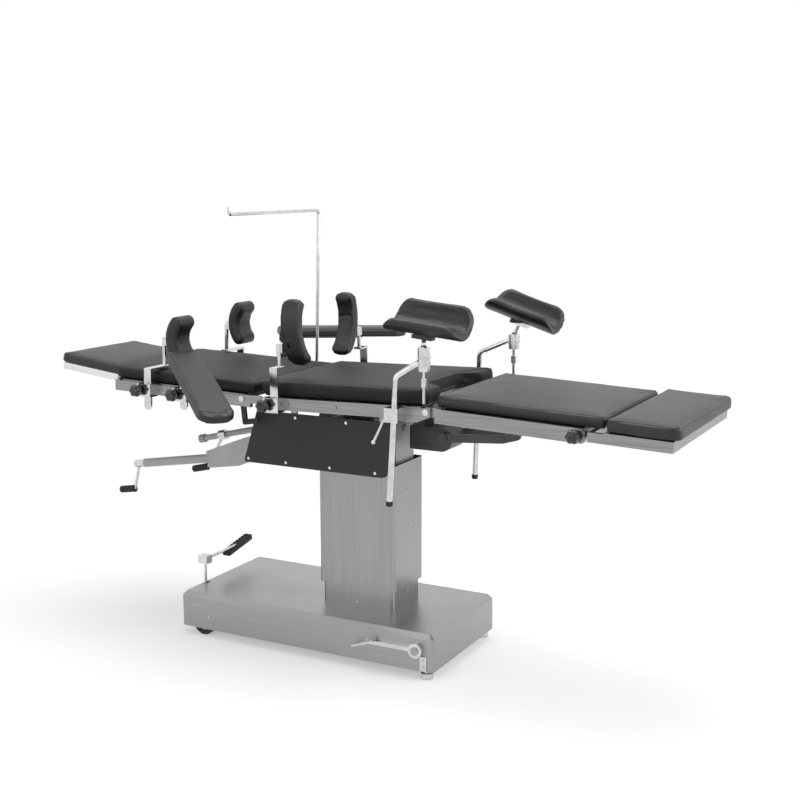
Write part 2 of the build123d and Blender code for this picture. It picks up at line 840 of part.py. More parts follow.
notch_margin = overrun
seat += tray - cutout(notch_margin)
seat += tray_beam - cutout(notch_margin)
ear_inner = rail_outer + seat_gap
ear_outer = ear_inner + hinge_ear_thick
for side in both_sides:
    ear = link([(back_hinge_x, back_hinge_z), (seat_rail_start - hinge_ear_radius, back_hinge_z)],
               hinge_ear_radius * 2, side * ear_inner, side * ear_outer)
    ear += block(seat_rail_start - hinge_ear_radius, seat_rail_start + hinge_ear_thick,
                 side * ear_inner, side * ear_outer, back_hinge_z - hinge_ear_radius, frame_top)
    ear += block(seat_rail_start, seat_rail_start + hinge_ear_thick, side * (rail_outer - side_gap),
                 side * ear_outer, back_hinge_z - hinge_ear_radius, frame_top)
    seat += ear
    bracket_high = frame_top + bracket_height - rail_height - hinge_ear_thick
    bracket = plate([(bracket_start, seat_rail_low - hinge_ear_thick),
                     (leg_hinge_x - bracket_drop, seat_rail_low - hinge_ear_thick),
                     (leg_hinge_x + leg_ear_radius, leg_hinge_z - leg_ear_radius),
                     (leg_hinge_x + leg_ear_radius, leg_hinge_z + leg_ear_radius),
                     (leg_hinge_x - bracket_drop, frame_top - tray_thick),
                     (bracket_start, frame_top - tray_thick)],
                    side * ear_inner, side * bracket_outer)
    seat += bracket
    seat += block(bracket_start - cross_width, bracket_start + cross_width,
                  side * (rail_inner), side * ear_inner, seat_rail_low, frame_top - tray_thick)
    seat += block(bracket_start - cross_width, bracket_start + cross_width,
                  side * ear_inner, side * bracket_outer, seat_rail_low, frame_top - tray_thick)
    for x in rail_bolt_xs:
        z = frame_top - rail_height / 2
        seat += rod((x, side * rail_outer, z), (x, side * (rail_outer + rail_bolt_head), z),
                    rail_bolt_radius)
seat = in_seat(seat)
for side in both_sides:
    hole = rod((0, side * (hanger_inner - overrun), tilt_z),
               (0, side * (hanger_inner + hanger_thick + overrun), tilt_z),
               shaft_radius + run_gap)
    seat -= hole
    for end in both_sides:
        x = end * strap_half_spread
        strap_y = skirt_outer - skirt_thick
        roof = seat_point(x, cross_low)[1]
        seat += block(x - strap_width / 2, x + strap_width / 2, side * strap_y,
                      side * (strap_y - strap_thick), strap_low_z, roof + cross_height)
for side in both_sides:
    for pin_x, pin_z in (seat_point(back_hinge_x, back_hinge_z), seat_point(leg_hinge_x, leg_hinge_z)):
        seat -= rod((pin_x, side * (rail_inner - overrun), pin_z),
                    (pin_x, side * (bracket_outer + overrun), pin_z), hinge_pin_radius)
nodes["seat_frame"] = seat

# Hinge pins of the back and the leg section, fixed in the seat frame's ears.
pins = Part()
for side in both_sides:
    for (pin_x, pin_z), outer in ((seat_point(back_hinge_x, back_hinge_z), ear_outer),
                                  (seat_point(leg_hinge_x, leg_hinge_z), bracket_outer)):
        pins += rod((pin_x, side * rail_inner, pin_z), (pin_x, side * outer, pin_z),
                    hinge_pin_radius)
        pins += rod((pin_x, side * outer, pin_z), (pin_x, side * (outer + hinge_pin_head), pin_z),
                    hinge_pin_head_radius)
nodes["hinge_pins"] = pins

# Seat pad: undercut at the head end so the back pad can swing, open at the foot.
back_swing = math.hypot(back_hinge_set, back_tray_top + back_pad_thick - back_hinge_z)
seat_pad = cushion(seam_x + seat_gap, seat_pad_end, top_half_width, seat_pad_low,
                   seat_pad_low + seat_pad_thick, (pad_corner, seat_horn_corner), pad_crown,
                   pad_draw)
seat_pad -= rod((back_hinge_x, -rail_outer, back_hinge_z), (back_hinge_x, rail_outer, back_hinge_z),
                back_swing + free_gap)
seat_pad -= cutout(0)
nodes["seat_pad"] = in_seat(seat_pad)

# Skirts and their screws, hung on straps from the cross members.
skirts = Part()
screws = Part()
for side in both_sides:
    outline = make_face(Polyline((skirt_top_head_x, skirt_top_z), (skirt_foot_x, skirt_top_z),
                                 (skirt_foot_x, skirt_low_z), (skirt_low_head_x, skirt_low_z),
                                 close=True))
    corner = [v for v in outline.vertices() if v.X > 0 and v.Y < tilt_z]
    outline = fillet(corner, skirt_corner)
    small = [v for v in outline.vertices() if v.X < 0 and v.Y < tilt_z]
    outline = fillet(small, skirt_small_corner)
    near_y = min(side * skirt_outer, side * (skirt_outer - skirt_thick))
    plane = Plane(origin=(0, near_y, 0), x_dir=(1, 0, 0), z_dir=(0, -1, 0))
    skirts += extrude(plane * outline, amount=-skirt_thick)
    low_run = skirt_foot_x - skirt_low_head_x
    high_run = skirt_foot_x - skirt_top_head_x
    places = [(skirt_low_head_x + s * low_run, skirt_low_z + skirt_screw_inset)
              for s in skirt_low_shares]
    places += [(skirt_top_head_x + s * high_run, skirt_top_z - skirt_screw_inset)
               for s in skirt_high_shares]
    for x, z in places:
        screws += rod((x, side * skirt_outer, z), (x, side * (skirt_outer + screw_head), z),
                      screw_radius)
nodes["side_skirts"] = skirts
nodes["skirt_screws"] = screws

# Gearbox of the leg section, hung from the last cross member.
box = block(gearbox_start, gearbox_end, -gearbox_half_width, gearbox_half_width, gearbox_low_z,
            gearbox_high_z)
nose = [e for e in box.edges().filter_by(Axis.Y) if e.center().X > output_x]
box = fillet(nose, gearbox_nose)
roof = seat_point(gearbox_saddle_start, cross_low)[1]
box += block(gearbox_saddle_start, gearbox_saddle_end, -gearbox_saddle_half, gearbox_saddle_half,
             gearbox_high_z - overrun, roof)
for side in both_sides:
    face = side * gearbox_half_width
    arm_outer = face + side * (arm_gap + arm_thick + seat_gap)
    box += rod((output_x, face - side * overrun, output_z), (output_x, arm_outer, output_z),
               output_radius)
    box += rod((output_x, arm_outer, output_z), (output_x, arm_outer + side * output_head, output_z),
               output_head_radius)
    for share in gearbox_bolt_shares:
        x = gearbox_start + share * (gearbox_end - gearbox_start)
        z = gearbox_low_z + gearbox_bolt_radius * 2
        if abs(x - output_x) > output_head_radius + gearbox_bolt_radius:
            box += rod((x, face, z), (x, face + side * rail_bolt_head, z), gearbox_bolt_radius)
nodes["leg_gearbox"] = box

# Lifting arms of the leg section, one each side, joined by a roller bar.
arms = Part()
for side in both_sides:
    y0 = side * (gearbox_half_width + arm_gap)
    y1 = y0 + side * arm_thick
    arms += link([(output_x, output_z), (arm_bolt_x, arm_bolt_z), (arm_tip_x, arm_tip_z)],
                 arm_width, y0, y1)
    arms -= rod((output_x, y0 - side * overrun, output_z), (output_x, y1 + side * overrun, output_z),
                output_radius + run_gap)
roller_half = gearbox_half_width + arm_gap + arm_thick + rail_bolt_head
arms += rod((arm_bolt_x, -roller_half, arm_bolt_z), (arm_bolt_x, roller_half, arm_bolt_z),
            arm_roller_radius)
nodes["leg_arm"] = arms

# Control housing with the fixed front tube and the rear tube.
strap_face = -strap_half_spread - strap_width / 2
housing_y = -(skirt_outer - skirt_thick)
housing = plate([(housing_nose_x, housing_nose_z), (housing_brow_x, housing_brow_z),
                 (strap_face, housing_root_top_z), (strap_face, housing_root_low_z),
                 (housing_chin_x, housing_chin_z), (housing_low_x, housing_nose_low_z)],
                housing_y, -housing_inner)
front_start = (housing_low_x + overrun, front_side, front_tube_z)
front_end = (front_tube_end_x, front_side, front_tube_end_z)
front_dir = (Vector(*front_end) - Vector(*front_start)).normalized()
housing += rod(front_start, front_end, front_tube_radius)
rear_start = (rear_tube_start_x, rear_side, rear_tube_start_z)
rear_end = (rear_tube_end_x, rear_side, rear_tube_end_z)
rear_dir = (Vector(*rear_end) - Vector(*rear_start)).normalized()
housing += rod(rear_start, rear_end, rear_tube_radius)
housing += rod(rear_end, Vector(*rear_end) + rear_dir * rear_end_length, rear_end_radius)
housing += block(rear_tube_start_x - rear_block_length / 2, rear_tube_start_x + rear_block_length / 2,
                 -housing_inner - overrun, rear_side + rear_tube_radius * 2,
                 rear_tube_start_z - rear_block_height / 2, rear_tube_start_z + rear_block_height / 2)
shaft_inner = Vector(*front_end) - front_dir * (crank_shaft_depth + free_gap)
housing -= rod(shaft_inner, Vector(*front_end) + front_dir * overrun, crank_shaft_radius + run_gap)
nodes["control_housing"] = housing


def crank_grip(root, direction):
    """A hollow grip on a spindle, from the root along a direction."""
    first = Vector(*root) + direction * grip_collar_length
    last = first + direction * grip_length
    body = rod(first + direction * seat_gap, last, grip_radius)
    edge = body.edges().filter_by(GeomType.CIRCLE)
    body = fillet(edge, grip_radius / 4)
    return body - rod(first - direction * overrun, last - direction * grip_radius / 2,
                      grip_spindle_radius + run_gap)


def crank_spindle(root, direction):
    """The collar at the arm's end and the spindle inside the grip."""
    first = Vector(*root) + direction * grip_collar_length
    body = rod(root, first, grip_collar_radius)
    return body + rod(root, first + direction * (grip_length - grip_radius), grip_spindle_radius)


cap_start = Vector(*front_end) + front_dir * seat_gap
cap_end = cap_start + front_dir * crank_cap_length
front_crank = rod(cap_start, cap_end, crank_cap_radius)
front_crank += rod(Vector(*front_end) - front_dir * crank_shaft_depth, cap_end, crank_shaft_radius)
front_root = (front_arm_x, front_side, front_arm_z)
front_crank += rod(cap_end - front_dir * crank_cap_radius, front_root, crank_arm_radius)
front_crank += crank_spindle(front_root, front_dir)
nodes["front_crank"] = front_crank
nodes["front_grip"] = crank_grip(front_root, front_dir)
collar_mid = Vector(*rear_start) + (Vector(*rear_end) - Vector(*rear_start)) * rear_arm_start_share
collar_half = rear_dir * (rear_collar_length / 2)
rear_root = (rear_arm_x, rear_side, rear_arm_z)
rear_crank = rod(collar_mid - collar_half, collar_mid + collar_half, rear_collar_radius)
rear_crank += rod(collar_mid, rear_root, crank_arm_radius)
rear_crank -= rod(collar_mid - collar_half * 2, collar_mid + collar_half * 2,
                  rear_tube_radius + run_gap)
rear_crank += crank_spindle(rear_root, rear_dir)
nodes["rear_crank"] = rear_crank
nodes["rear_grip"] = crank_grip(rear_root, rear_dir)

# Back section: rails, stub, cross members, tray and the ears of the head section.
back = Part()
for side in both_sides:
    back += block(back_rail_start, back_rail_end, side * rail_inner, side * rail_outer,
                  back_rail_low, frame_top)
    y = side * (rail_inner + rail_outer) / 2
    back += rod((back_rail_start + set_screw_radius * 2, y, frame_top),
                (back_rail_start + set_screw_radius * 2, y, frame_top + set_screw_height),
                set_screw_radius)
    lug_outer = head_bar_outer - head_bar_thick - seat_gap
    dip = head_hinge_z - head_lug_drop
    lug = link([(head_hinge_x, head_hinge_z), (head_hinge_x + head_lug_knee, dip),
                (head_hinge_x + head_lug_run, dip), (back_cross_xs[0], head_hinge_z)],
               head_lug_radius * 2, side * (lug_outer - head_lug_thick), side * lug_outer)
    back += lug
for x in back_cross_xs:
    back += block(x - half_cross, x + half_cross, -rail_inner - side_gap, rail_inner + side_gap,
                  frame_top - cross_height, frame_top)
back += block(back_tray_start, back_hinge_x, -tray_half, tray_half, frame_top, back_tray_top)
for side in both_sides:
    back -= rod((back_hinge_x, side * (rail_inner - overrun), back_hinge_z),
                (back_hinge_x, side * (rail_outer + overrun), back_hinge_z),
                hinge_pin_radius + run_gap)
    back -= rod((head_hinge_x, side * lug_outer, head_hinge_z),
                (head_hinge_x, side * (lug_outer - head_lug_thick - overrun), head_hinge_z),
                head_pin_radius + run_gap)
nodes["back_frame"] = in_back(back)
head_top = head_bar_top + head_pad_thick
head_swing = math.hypot(head_hinge_set, head_top - head_hinge_z)
back_pad = cushion(back_pad_start, seam_x, top_half_width, back_tray_top,
                   back_tray_top + back_pad_thick, (back_pad_corner, pad_corner), pad_crown,
                   pad_draw)
back_pad -= rod((head_hinge_x, -rail_outer, head_hinge_z), (head_hinge_x, rail_outer, head_hinge_z),
                head_swing + free_gap)
nodes["back_pad"] = in_back(back_pad)

# Bent lever under the back hinge, on the inner face of the near rail.
lever = link([(lever_top_x, lever_top_z), (lever_knee_x, lever_knee_z), (lever_end_x, lever_end_z)],
             lever_width, -rail_inner, -rail_inner + lever_thick)
lever += rod((lever_knee_x, -rail_inner - rail_bolt_head, lever_knee_z),
             (lever_knee_x, -rail_inner, lever_knee_z), lever_bolt_radius)
nodes["back_lever"] = in_back(lever)

# Head section: two bars, end bars, pins in the back frame's lugs, and the pad.
head = Part()
bar_inner = head_bar_outer - head_bar_thick
bar_low = head_bar_top - head_bar_height
head_end_x = head_pad_start + head_bar_set
for side in both_sides:
    head += block(head_end_x, head_hinge_x + head_lug_radius, side * bar_inner,
                  side * head_bar_outer, bar_low, head_bar_top)
    head += rod((head_hinge_x, side * head_bar_outer, head_hinge_z),
                (head_hinge_x, side * (lug_outer - head_lug_thick), head_hinge_z),
                head_pin_radius)
head += block(head_end_x, head_end_x + head_bar_thick, -head_bar_outer, head_bar_outer, bar_low,
              head_bar_top)
head_mid = (head_end_x + head_hinge_x) / 2
head += block(head_mid, head_mid + head_bar_thick, -head_bar_outer, head_bar_outer, bar_low,
              head_bar_top)
nodes["head_frame"] = in_head(head)
nodes["head_pad"] = in_head(cushion(head_pad_start, back_pad_start - seat_gap, head_pad_half_width,
                                    head_bar_top, head_top, (head_pad_corner, pad_corner),
                                    pad_crown, pad_draw))

# Leg section: rails with hinge ears, tray, cross members, sockets of the foot rods.
leg = Part()
for side in both_sides:
    leg += block(leg_rail_start, leg_rail_end, side * rail_inner, side * rail_outer, leg_rail_low,
                 leg_rail_top)
    leg += block(leg_rail_start, leg_rail_end, side * rail_inner, side * (rail_outer + side_gap),
                 leg_rail_top, leg_tray_top)
    leg += link([(leg_hinge_x, leg_hinge_z), (leg_rail_start + leg_ear_radius, leg_hinge_z)],
                leg_ear_radius * 2, side * rail_inner, side * rail_outer)
    leg += block(leg_rail_end - socket_length / 2, leg_rail_end + socket_length / 4,
                 side * rail_outer, side * (rail_outer + socket_depth),
                 leg_rail_top - socket_height, leg_rail_top)
for x in leg_cross_xs:
    leg += block(x - half_cross, x + half_cross, -rail_inner - side_gap, rail_inner + side_gap,
                 leg_rail_top - rail_height, leg_rail_top)
leg += block(leg_cross_xs[0], leg_rail_end, -rail_inner, rail_inner, leg_rail_top, leg_tray_top)
for side in both_sides:
    leg -= rod((leg_hinge_x, side * (rail_inner - overrun), leg_hinge_z),
               (leg_hinge_x, side * (rail_outer + overrun), leg_hinge_z),
               hinge_pin_radius + run_gap)
    y = side * foot_rod_side
    leg -= rod((leg_cross_xs[1] - cross_width, y, foot_rod_z),
               (leg_cross_xs[2] + cross_width, y, foot_rod_z), foot_rod_radius + run_gap)
    knob_z = leg_rail_top - socket_height / 2
    knob_x = leg_rail_end - socket_length / 3
nodes["leg_frame"] = in_leg(leg)
nodes["leg_pad"] = in_leg(cushion(leg_pad_start, leg_pad_end, top_half_width, leg_tray_top,
                                  leg_tray_top + leg_pad_thick, (pad_corner, pad_corner),
                                  pad_crown, pad_draw))
foot_knobs = Part()
for side in both_sides:
    foot_knobs += star_knob(knob_x, side, knob_z, side * (rail_outer + socket_depth))
nodes["foot_knobs"] = in_leg(foot_knobs)

# Foot section: two rods that slide in the leg frame, a U-shaped frame and the pad.
foot = Part()
foot_inner = foot_bar_outer - foot_bar_thick
foot_low = leg_rail_top - foot_bar_height
for side in both_sides:
    foot += rod((foot_rod_start, side * foot_rod_side, foot_rod_z),
                (foot_bar_start + foot_bar_thick / 2, side * foot_rod_side, foot_rod_z),
                foot_rod_radius)
    foot += block(foot_bar_start, foot_bar_end, side * foot_inner, side * foot_bar_outer, foot_low,
                  leg_rail_top)
for x in (foot_bar_start, foot_bar_end - foot_bar_thick):
    foot += block(x, x + foot_bar_thick, -foot_bar_outer, foot_bar_outer, foot_low, leg_rail_top)
foot += block(foot_pad_start, foot_bar_end, -foot_bar_outer, foot_bar_outer, leg_rail_top,
              leg_tray_top)
nodes["foot_frame"] = in_leg(foot)
nodes["foot_pad"] = in_leg(cushion(foot_pad_start, foot_pad_end, foot_pad_half_width, leg_tray_top,
                                   leg_tray_top + foot_pad_thick, (pad_corner, foot_pad_corner),
                                   pad_crown, pad_draw))

# Rail clamps for flat bars.
slot_half_x = bar_width / 2 + seat_gap
slot_half_y = bar_thick / 2 + seat_gap


def rail_clamp(x, side, low):
    """A hook-shaped block on a rail, with an upright slot for a flat bar."""
    inner, outer = rail_outer + seat_gap, rail_outer + seat_gap + clamp_depth
    top = frame_top + seat_gap
    body = block(x - clamp_head_length, x + clamp_foot_length, side * inner, side * outer,
                 low - clamp_lip, top + clamp_lip - seat_gap)
    body += block(x - clamp_head_length, x + clamp_foot_length, side * (inner - clamp_reach),
                  side * inner, low - seat_gap - clamp_lip, low - seat_gap)
    body -= block(x - slot_half_x, x + slot_half_x, side * (bar_side - slot_half_y),
                  side * (bar_side + slot_half_y), low - clamp_lip * 2, frame_top + clamp_lip * 3)
    return body


def clamp_knob(x, side, low):
    face = side * (rail_outer + seat_gap + clamp_depth)
    return star_knob(x - knob_offset, side, (low + frame_top) / 2, face)


back_clamps, back_knobs = Part(), Part()
for x, side in ((shoulder_bar_near_x, -1), (shoulder_bar_far_x, 1), (arm_post_near_x, -1),
                (arm_post_far_x, 1)):
    back_clamps += rail_clamp(x, side, back_rail_low)
    back_knobs += clamp_knob(x, side, back_rail_low)
screen_hole = rod((screen_x, screen_side, screen_low_z), (screen_x, screen_side, screen_top_z),
                  screen_radius + run_gap)
screen_clamp = block(screen_x - screen_clamp_half, screen_x + screen_clamp_half,
                     rail_outer + seat_gap, rail_outer + seat_gap + clamp_depth,
                     back_rail_low - clamp_lip, back_tray_top)
back_clamps += screen_clamp - screen_hole
back_knobs += star_knob(screen_x, 1, (back_rail_low + frame_top) / 2,
                        rail_outer + seat_gap + clamp_depth)
nodes["rail_clamps_back"] = in_back(back_clamps)
nodes["clamp_knobs_back"] = in_back(back_knobs)

seat_clamps, seat_knobs = Part(), Part()
for x, side in ((body_bar_near_x, -1), (body_bar_far_x, 1)):
    seat_clamps += rail_clamp(x, side, seat_rail_low)
    seat_knobs += clamp_knob(x, side, seat_rail_low)
seat_clamps = in_seat(seat_clamps)
seat_knobs = in_seat(seat_knobs)

# Flat bars with a rounded lower tip and a run over the edge of the pad.


def over_bar(x, side, low, high, reach):
    half = bar_width / 2
    y0, y1 = side * (bar_side - bar_thick / 2), side * (bar_side + bar_thick / 2)
    body = block(x - half, x + half, y0, y1, low + half, high)
    body += rod((x, y0, low + half), (x, y1, low + half), half)
    return body + block(x - half, x + half, side * reach, y1, high - bar_thick, high)


def banana(mid_x, mid_z, side):
    """Shoulder cushion: an arc open to the foot side, thick along Y."""
    centre_x = mid_x + shoulder_arc_radius + shoulder_pad_thick / 2
    arc = CenterArc((0, 0), shoulder_arc_radius, 180 - shoulder_arc_half, shoulder_arc_half * 2)
    face = Plane.XZ * SlotArc(arc, shoulder_pad_thick)
    body = extrude(face, amount=shoulder_pad_width / 2, both=True)
    ends = [e for e in body.edges() if abs(abs(e.center().Y) - shoulder_pad_width / 2) < run_gap]
    body = fillet(ends, shoulder_pad_round)
    return Pos(centre_x, side * shoulder_side, mid_z) * body


for word, side, x, pad_mid_z in (
        ("near", -1, shoulder_bar_near_x, shoulder_pad_near_mid_z),
        ("far", 1, shoulder_bar_far_x, shoulder_pad_far_mid_z)):
    y = side * shoulder_side
    bar = over_bar(x, side, shoulder_bar_low_z, shoulder_bar_high_z,
                   shoulder_side - bar_width / 2)
    bar += rod((x, y, shoulder_bar_high_z), (x, y, shoulder_bar_high_z + shoulder_post_height),
               shoulder_post_radius)
    stay_z = pad_mid_z - shoulder_stay_height / 2
    stay_x = x + shoulder_post_radius + shoulder_stay_length
    bar += block(x, stay_x, y - shoulder_stay_width / 2, y + shoulder_stay_width / 2,
                 pad_mid_z - shoulder_stay_height, pad_mid_z)
    nodes[f"shoulder_bar_{word}"] = in_back(bar)
    nodes[f"shoulder_pad_{word}"] = in_back(banana(stay_x + free_gap / 2, pad_mid_z, side))

# Body supports: a flat bar, an upright post and a bent cushion with a round top.
for word, side, x, shift, pad_low_z in (
        ("near", -1, body_bar_near_x, body_pad_near_shift, body_pad_near_low_z),
        ("far", 1, body_bar_far_x, body_pad_far_shift, body_pad_far_low_z)):
    bar = over_bar(x, side, body_bar_low_z, body_bar_high_z, body_reach - bar_width / 4)
    post_y = side * (body_reach + body_post_radius)
    bar += rod((x, post_y, body_bar_high_z), (x, post_y, body_bar_high_z + body_post_height),
               body_post_radius)
    pad_x = x + shift
    round_end = body_pad_thick / 2
    rise_low = body_pad_bend * math.sin(math.radians(body_arc_low)) + round_end
    rise_high = body_pad_bend * math.sin(math.radians(body_arc_high)) + round_end
    mid_z = pad_low_z + rise_low
    stay_low = body_bar_high_z + body_post_height - shoulder_stay_height
    below = mid_z - stay_low - shoulder_stay_height
    pad_face = math.sqrt((body_pad_bend + body_pad_thick / 2) ** 2 - below ** 2)
    stay_y = body_pad_side - body_pad_bend + pad_face + seat_gap
    bar += block(x - body_post_radius, x + body_post_radius * 2, side * stay_y,
                 side * (body_reach + body_post_radius), stay_low, stay_low + shoulder_stay_height)
    arc = CenterArc((0, 0), body_pad_bend, -body_arc_low, body_arc_low + body_arc_high)
    band = extrude(Plane.XZ * SlotArc(arc, body_pad_thick), amount=body_pad_width / 2, both=True)
    outline = RectangleRounded(body_pad_width, rise_low + rise_high, body_pad_width / 2.5)
    outline = Pos(0, (rise_high - rise_low) / 2) * outline
    plan = extrude(Plane.YZ * outline, amount=body_pad_bend * 2, both=True)
    pad = band & plan
    turn = Rot(0, 0, side * right_angle)
    nodes[f"body_bar_{word}"] = in_seat(bar)
    nodes[f"body_pad_{word}"] = in_seat(
        Pos(pad_x, side * (body_pad_side - body_pad_bend), mid_z) * turn * pad)

# Arm boards: a post in its clamp, a swivel hub, a carrier plate and a cushion.
posts = Part()
for side, x, post_high in ((-1, arm_post_near_x, arm_post_near_high_z),
                           (1, arm_post_far_x, arm_post_far_high_z)):
    half = bar_width / 2
    y0, y1 = side * (bar_side - bar_thick / 2), side * (bar_side + bar_thick / 2)
    posts += block(x - half, x + half, y0, y1, arm_post_low_z + half, post_high)
    posts += rod((x, y0, arm_post_low_z + half), (x, y1, arm_post_low_z + half), half)
    posts += rod((x, side * bar_side, post_high - arm_hub_radius),
                 (x, side * bar_side, post_high), half)
    posts += rod((x, side * bar_side, post_high),
                 (x, side * bar_side, post_high + arm_pivot_height), arm_pivot_radius)
nodes["arm_posts"] = in_back(posts)


def arm_board(x, side, post_high, yaw, pitch, roll):
    """Cushion and carrier on a hub that swivels on its post."""
    pivot_x, pivot_z = back_point(x, post_high)
    low = board_lift
    pad = cushion(-board_root_set, board_length - board_root_set, board_width / 2,
                  low + carrier_thick, low + carrier_thick + board_thick,
                  (board_root_corner, board_end_corner), board_crown, board_draw)
    carrier = block(-board_root_set + board_root_corner, carrier_length, -carrier_width / 2,
                    carrier_width / 2, low, low + carrier_thick)
    hub = rod((0, 0, seat_gap), (0, 0, arm_hub_height + carrier_thick), arm_hub_radius)
    turned_pad = pad.rotate(Axis.X, roll).rotate(Axis.Y, pitch)
    turned_carrier = carrier.rotate(Axis.X, roll).rotate(Axis.Y, pitch)
    stalk = hub - turned_pad
    metal = turned_carrier + stalk
    metal -= rod((0, 0, -overrun), (0, 0, arm_pivot_height + free_gap), arm_pivot_radius + run_gap)
    soft = turned_pad - rod((0, 0, -overrun), (0, 0, arm_pivot_height + free_gap),
                            arm_pivot_radius + free_gap)
    lean = back_rise
    place = Pos(pivot_x, side * bar_side, pivot_z) * Rot(0, lean, 0)
    metal = place * Rot(0, 0, yaw) * metal
    soft = place * Rot(0, 0, yaw) * soft
    return Compound(children=list(metal.solids()) + list(soft.solids()))


nodes["arm_board_near"] = arm_board(arm_post_near_x, -1, arm_post_near_high_z, near_board_yaw,
                                    near_board_pitch, near_board_roll)
nodes["arm_board_far"] = arm_board(arm_post_far_x, 1, arm_post_far_high_z, far_board_yaw, 0, 0)

# Leg holders: a bent rod with a cup, a ball and stem, and a trough cushion.


def trough(x, y, z, roll, pitch):
    """Half-pipe cushion with rounded ends, open above."""
    arc = CenterArc((0, 0), trough_radius, -right_angle - trough_half_angle, trough_half_angle * 2)
    body = extrude(Plane.YZ * SlotArc(arc, trough_thick), amount=trough_length / 2, both=True)
    outer = trough_radius + trough_thick / 2
    rim = trough_thick / 2 - trough_radius * math.cos(math.radians(trough_half_angle))
    side_view = Rectangle(trough_length, outer + rim + overrun)
    top = [v for v in side_view.vertices() if v.Y > 0]
    side_view = fillet(top, trough_corner)
    side_view = Pos(0, (rim - outer - overrun) / 2) * side_view
    body &= extrude(Plane.XZ * side_view, amount=outer * 2, both=True)
    return Pos(x, y, z) * Rot(0, pitch, 0) * Rot(roll, 0, 0) * body


for word, side, low, knee, cup_x, cup_side, cup_z, hold in (
        ("near", -1, near_rod_low, near_rod_knee, near_cup_x, near_cup_side, near_cup_z,
         (near_trough_shift, near_trough_z, near_trough_roll, near_trough_pitch, near_stem_lean,
          near_ball_rise)),
        ("far", 1, far_rod_low, far_rod_knee, far_cup_x, far_cup_side, far_cup_z,
         (far_trough_shift, far_trough_z, far_trough_roll, far_trough_pitch, far_stem_lean,
          far_ball_rise))):
    rod_y, cup_y = side * holder_side, side * cup_side
    trough_x, trough_z, roll, pitch = cup_x + hold[0], hold[1], hold[2], hold[3]
    holder = bent_rod([(low[0], rod_y, low[1]), (knee[0], rod_y, knee[1]), (cup_x, cup_y, cup_z)],
                      holder_rod_radius, rod_bend)
    ball_z = cup_z + hold[5]
    holder += rod((cup_x, cup_y, cup_z - cup_below), (cup_x, cup_y, ball_z + cup_above), cup_radius)
    screw_low = cup_z - cup_below - holder_screw_length
    holder += rod((cup_x, cup_y, screw_low), (cup_x, cup_y, cup_z - cup_below), holder_screw_radius)
    knob_high = cup_z - cup_below - holder_screw_knob_length
    holder += rod((cup_x, cup_y, knob_high - holder_screw_knob_length), (cup_x, cup_y, knob_high),
                  holder_screw_knob)
    ball_hole = Pos(cup_x, cup_y, ball_z) * Sphere(ball_radius + run_gap)
    nodes[f"leg_rod_{word}"] = holder - ball_hole
    outer = trough_radius + trough_thick / 2
    lean = math.radians(pitch)
    stem_x = cup_x + hold[4]
    drop = outer / math.cos(lean) + (stem_x - trough_x) * math.tan(lean)
    pad = trough(trough_x, cup_y, trough_z, roll, pitch)
    stem_top = trough_z - drop + saddle_height
    joint = Pos(cup_x, cup_y, ball_z) * Sphere(ball_radius)
    joint += rod((cup_x, cup_y, ball_z), (stem_x, cup_y, stem_top), stem_radius)
    saddle = block(stem_x - saddle_length / 2, stem_x + saddle_length / 2, cup_y - saddle_width / 2,
                   cup_y + saddle_width / 2, stem_top - saddle_height * 2, stem_top)
    saddle = saddle.rotate(Axis((stem_x, cup_y, stem_top), (0, 1, 0)), pitch)
    joint = (joint + saddle) - pad
    nodes[f"leg_joint_{word}"] = joint.solids().sort_by(SortBy.VOLUME)[-1]
    nodes[f"leg_holder_pad_{word}"] = pad
    share = (seat_point(low[0], frame_top - rail_height / 2)[1] - low[1]) / (knee[1] - low[1])
    hold_x = low[0] + share * (knee[0] - low[0])
    hold_z = low[1] + share * (knee[1] - low[1])
    face = side * bracket_outer
    clamp = block(hold_x - holder_clamp_length / 2, hold_x + holder_clamp_length / 2, face,
                  face + side * holder_clamp_depth + side * holder_rod_radius,
                  hold_z - holder_clamp_height / 2, hold_z + holder_clamp_height / 2)
    clamp -= rod((low[0], rod_y, low[1]), (knee[0], rod_y, knee[1]), holder_rod_radius + run_gap)
    seat_clamps += clamp
    edge_x = hold_x - holder_clamp_length / 2
    lean = math.radians(tommy_lean)
    tip_x = edge_x - tommy_radius * 2 - tommy_length * math.sin(lean)
    tip_z = hold_z - tommy_length * math.cos(lean)
    tommy = rod((edge_x - tommy_radius * 2, rod_y, hold_z), (edge_x, rod_y, hold_z),
                tommy_ball_radius)
    tommy += rod((edge_x - tommy_radius, rod_y, hold_z), (tip_x, rod_y, tip_z), tommy_radius)
    tommy += Pos(tip_x, rod_y, tip_z) * Sphere(tommy_ball_radius)
    tommy -= clamp
    seat_knobs += tommy
nodes["rail_clamps_seat"] = seat_clamps
nodes["clamp_knobs_seat"] = seat_knobs

# Screen frame: an upright rod, an arm across the table and a small upturned tip.
inward = screen_side - screen_reach
screen = bent_rod([(screen_x, screen_side, screen_low_z), (screen_x, screen_side, screen_top_z),
                   (screen_x, inward, screen_top_z), (screen_x, inward, screen_top_z + screen_bend
                                                      + screen_tip_rise)],
                  screen_radius, screen_bend)
nodes["screen_frame"] = in_back(screen)

for name, shape in nodes.items():
    export_step(shape, f"parts/{name}.step")
    print(name, len(shape.solids()), round(shape.volume))
print(len(nodes), "nodes")
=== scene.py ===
# %% [markdown]
# # Operating table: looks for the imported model
#
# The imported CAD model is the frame: it fixes every place and size, in metres, with the foot end at
# +X, the near side at -Y and the floor at Z = 0. This notebook dresses it. Rigid metal parts keep
# their CAD meshes and get detailed materials. Soft parts are made again as stuffed covers.

# %% Load the frame
import json
import math

import bpy
from mathutils import Matrix, Vector

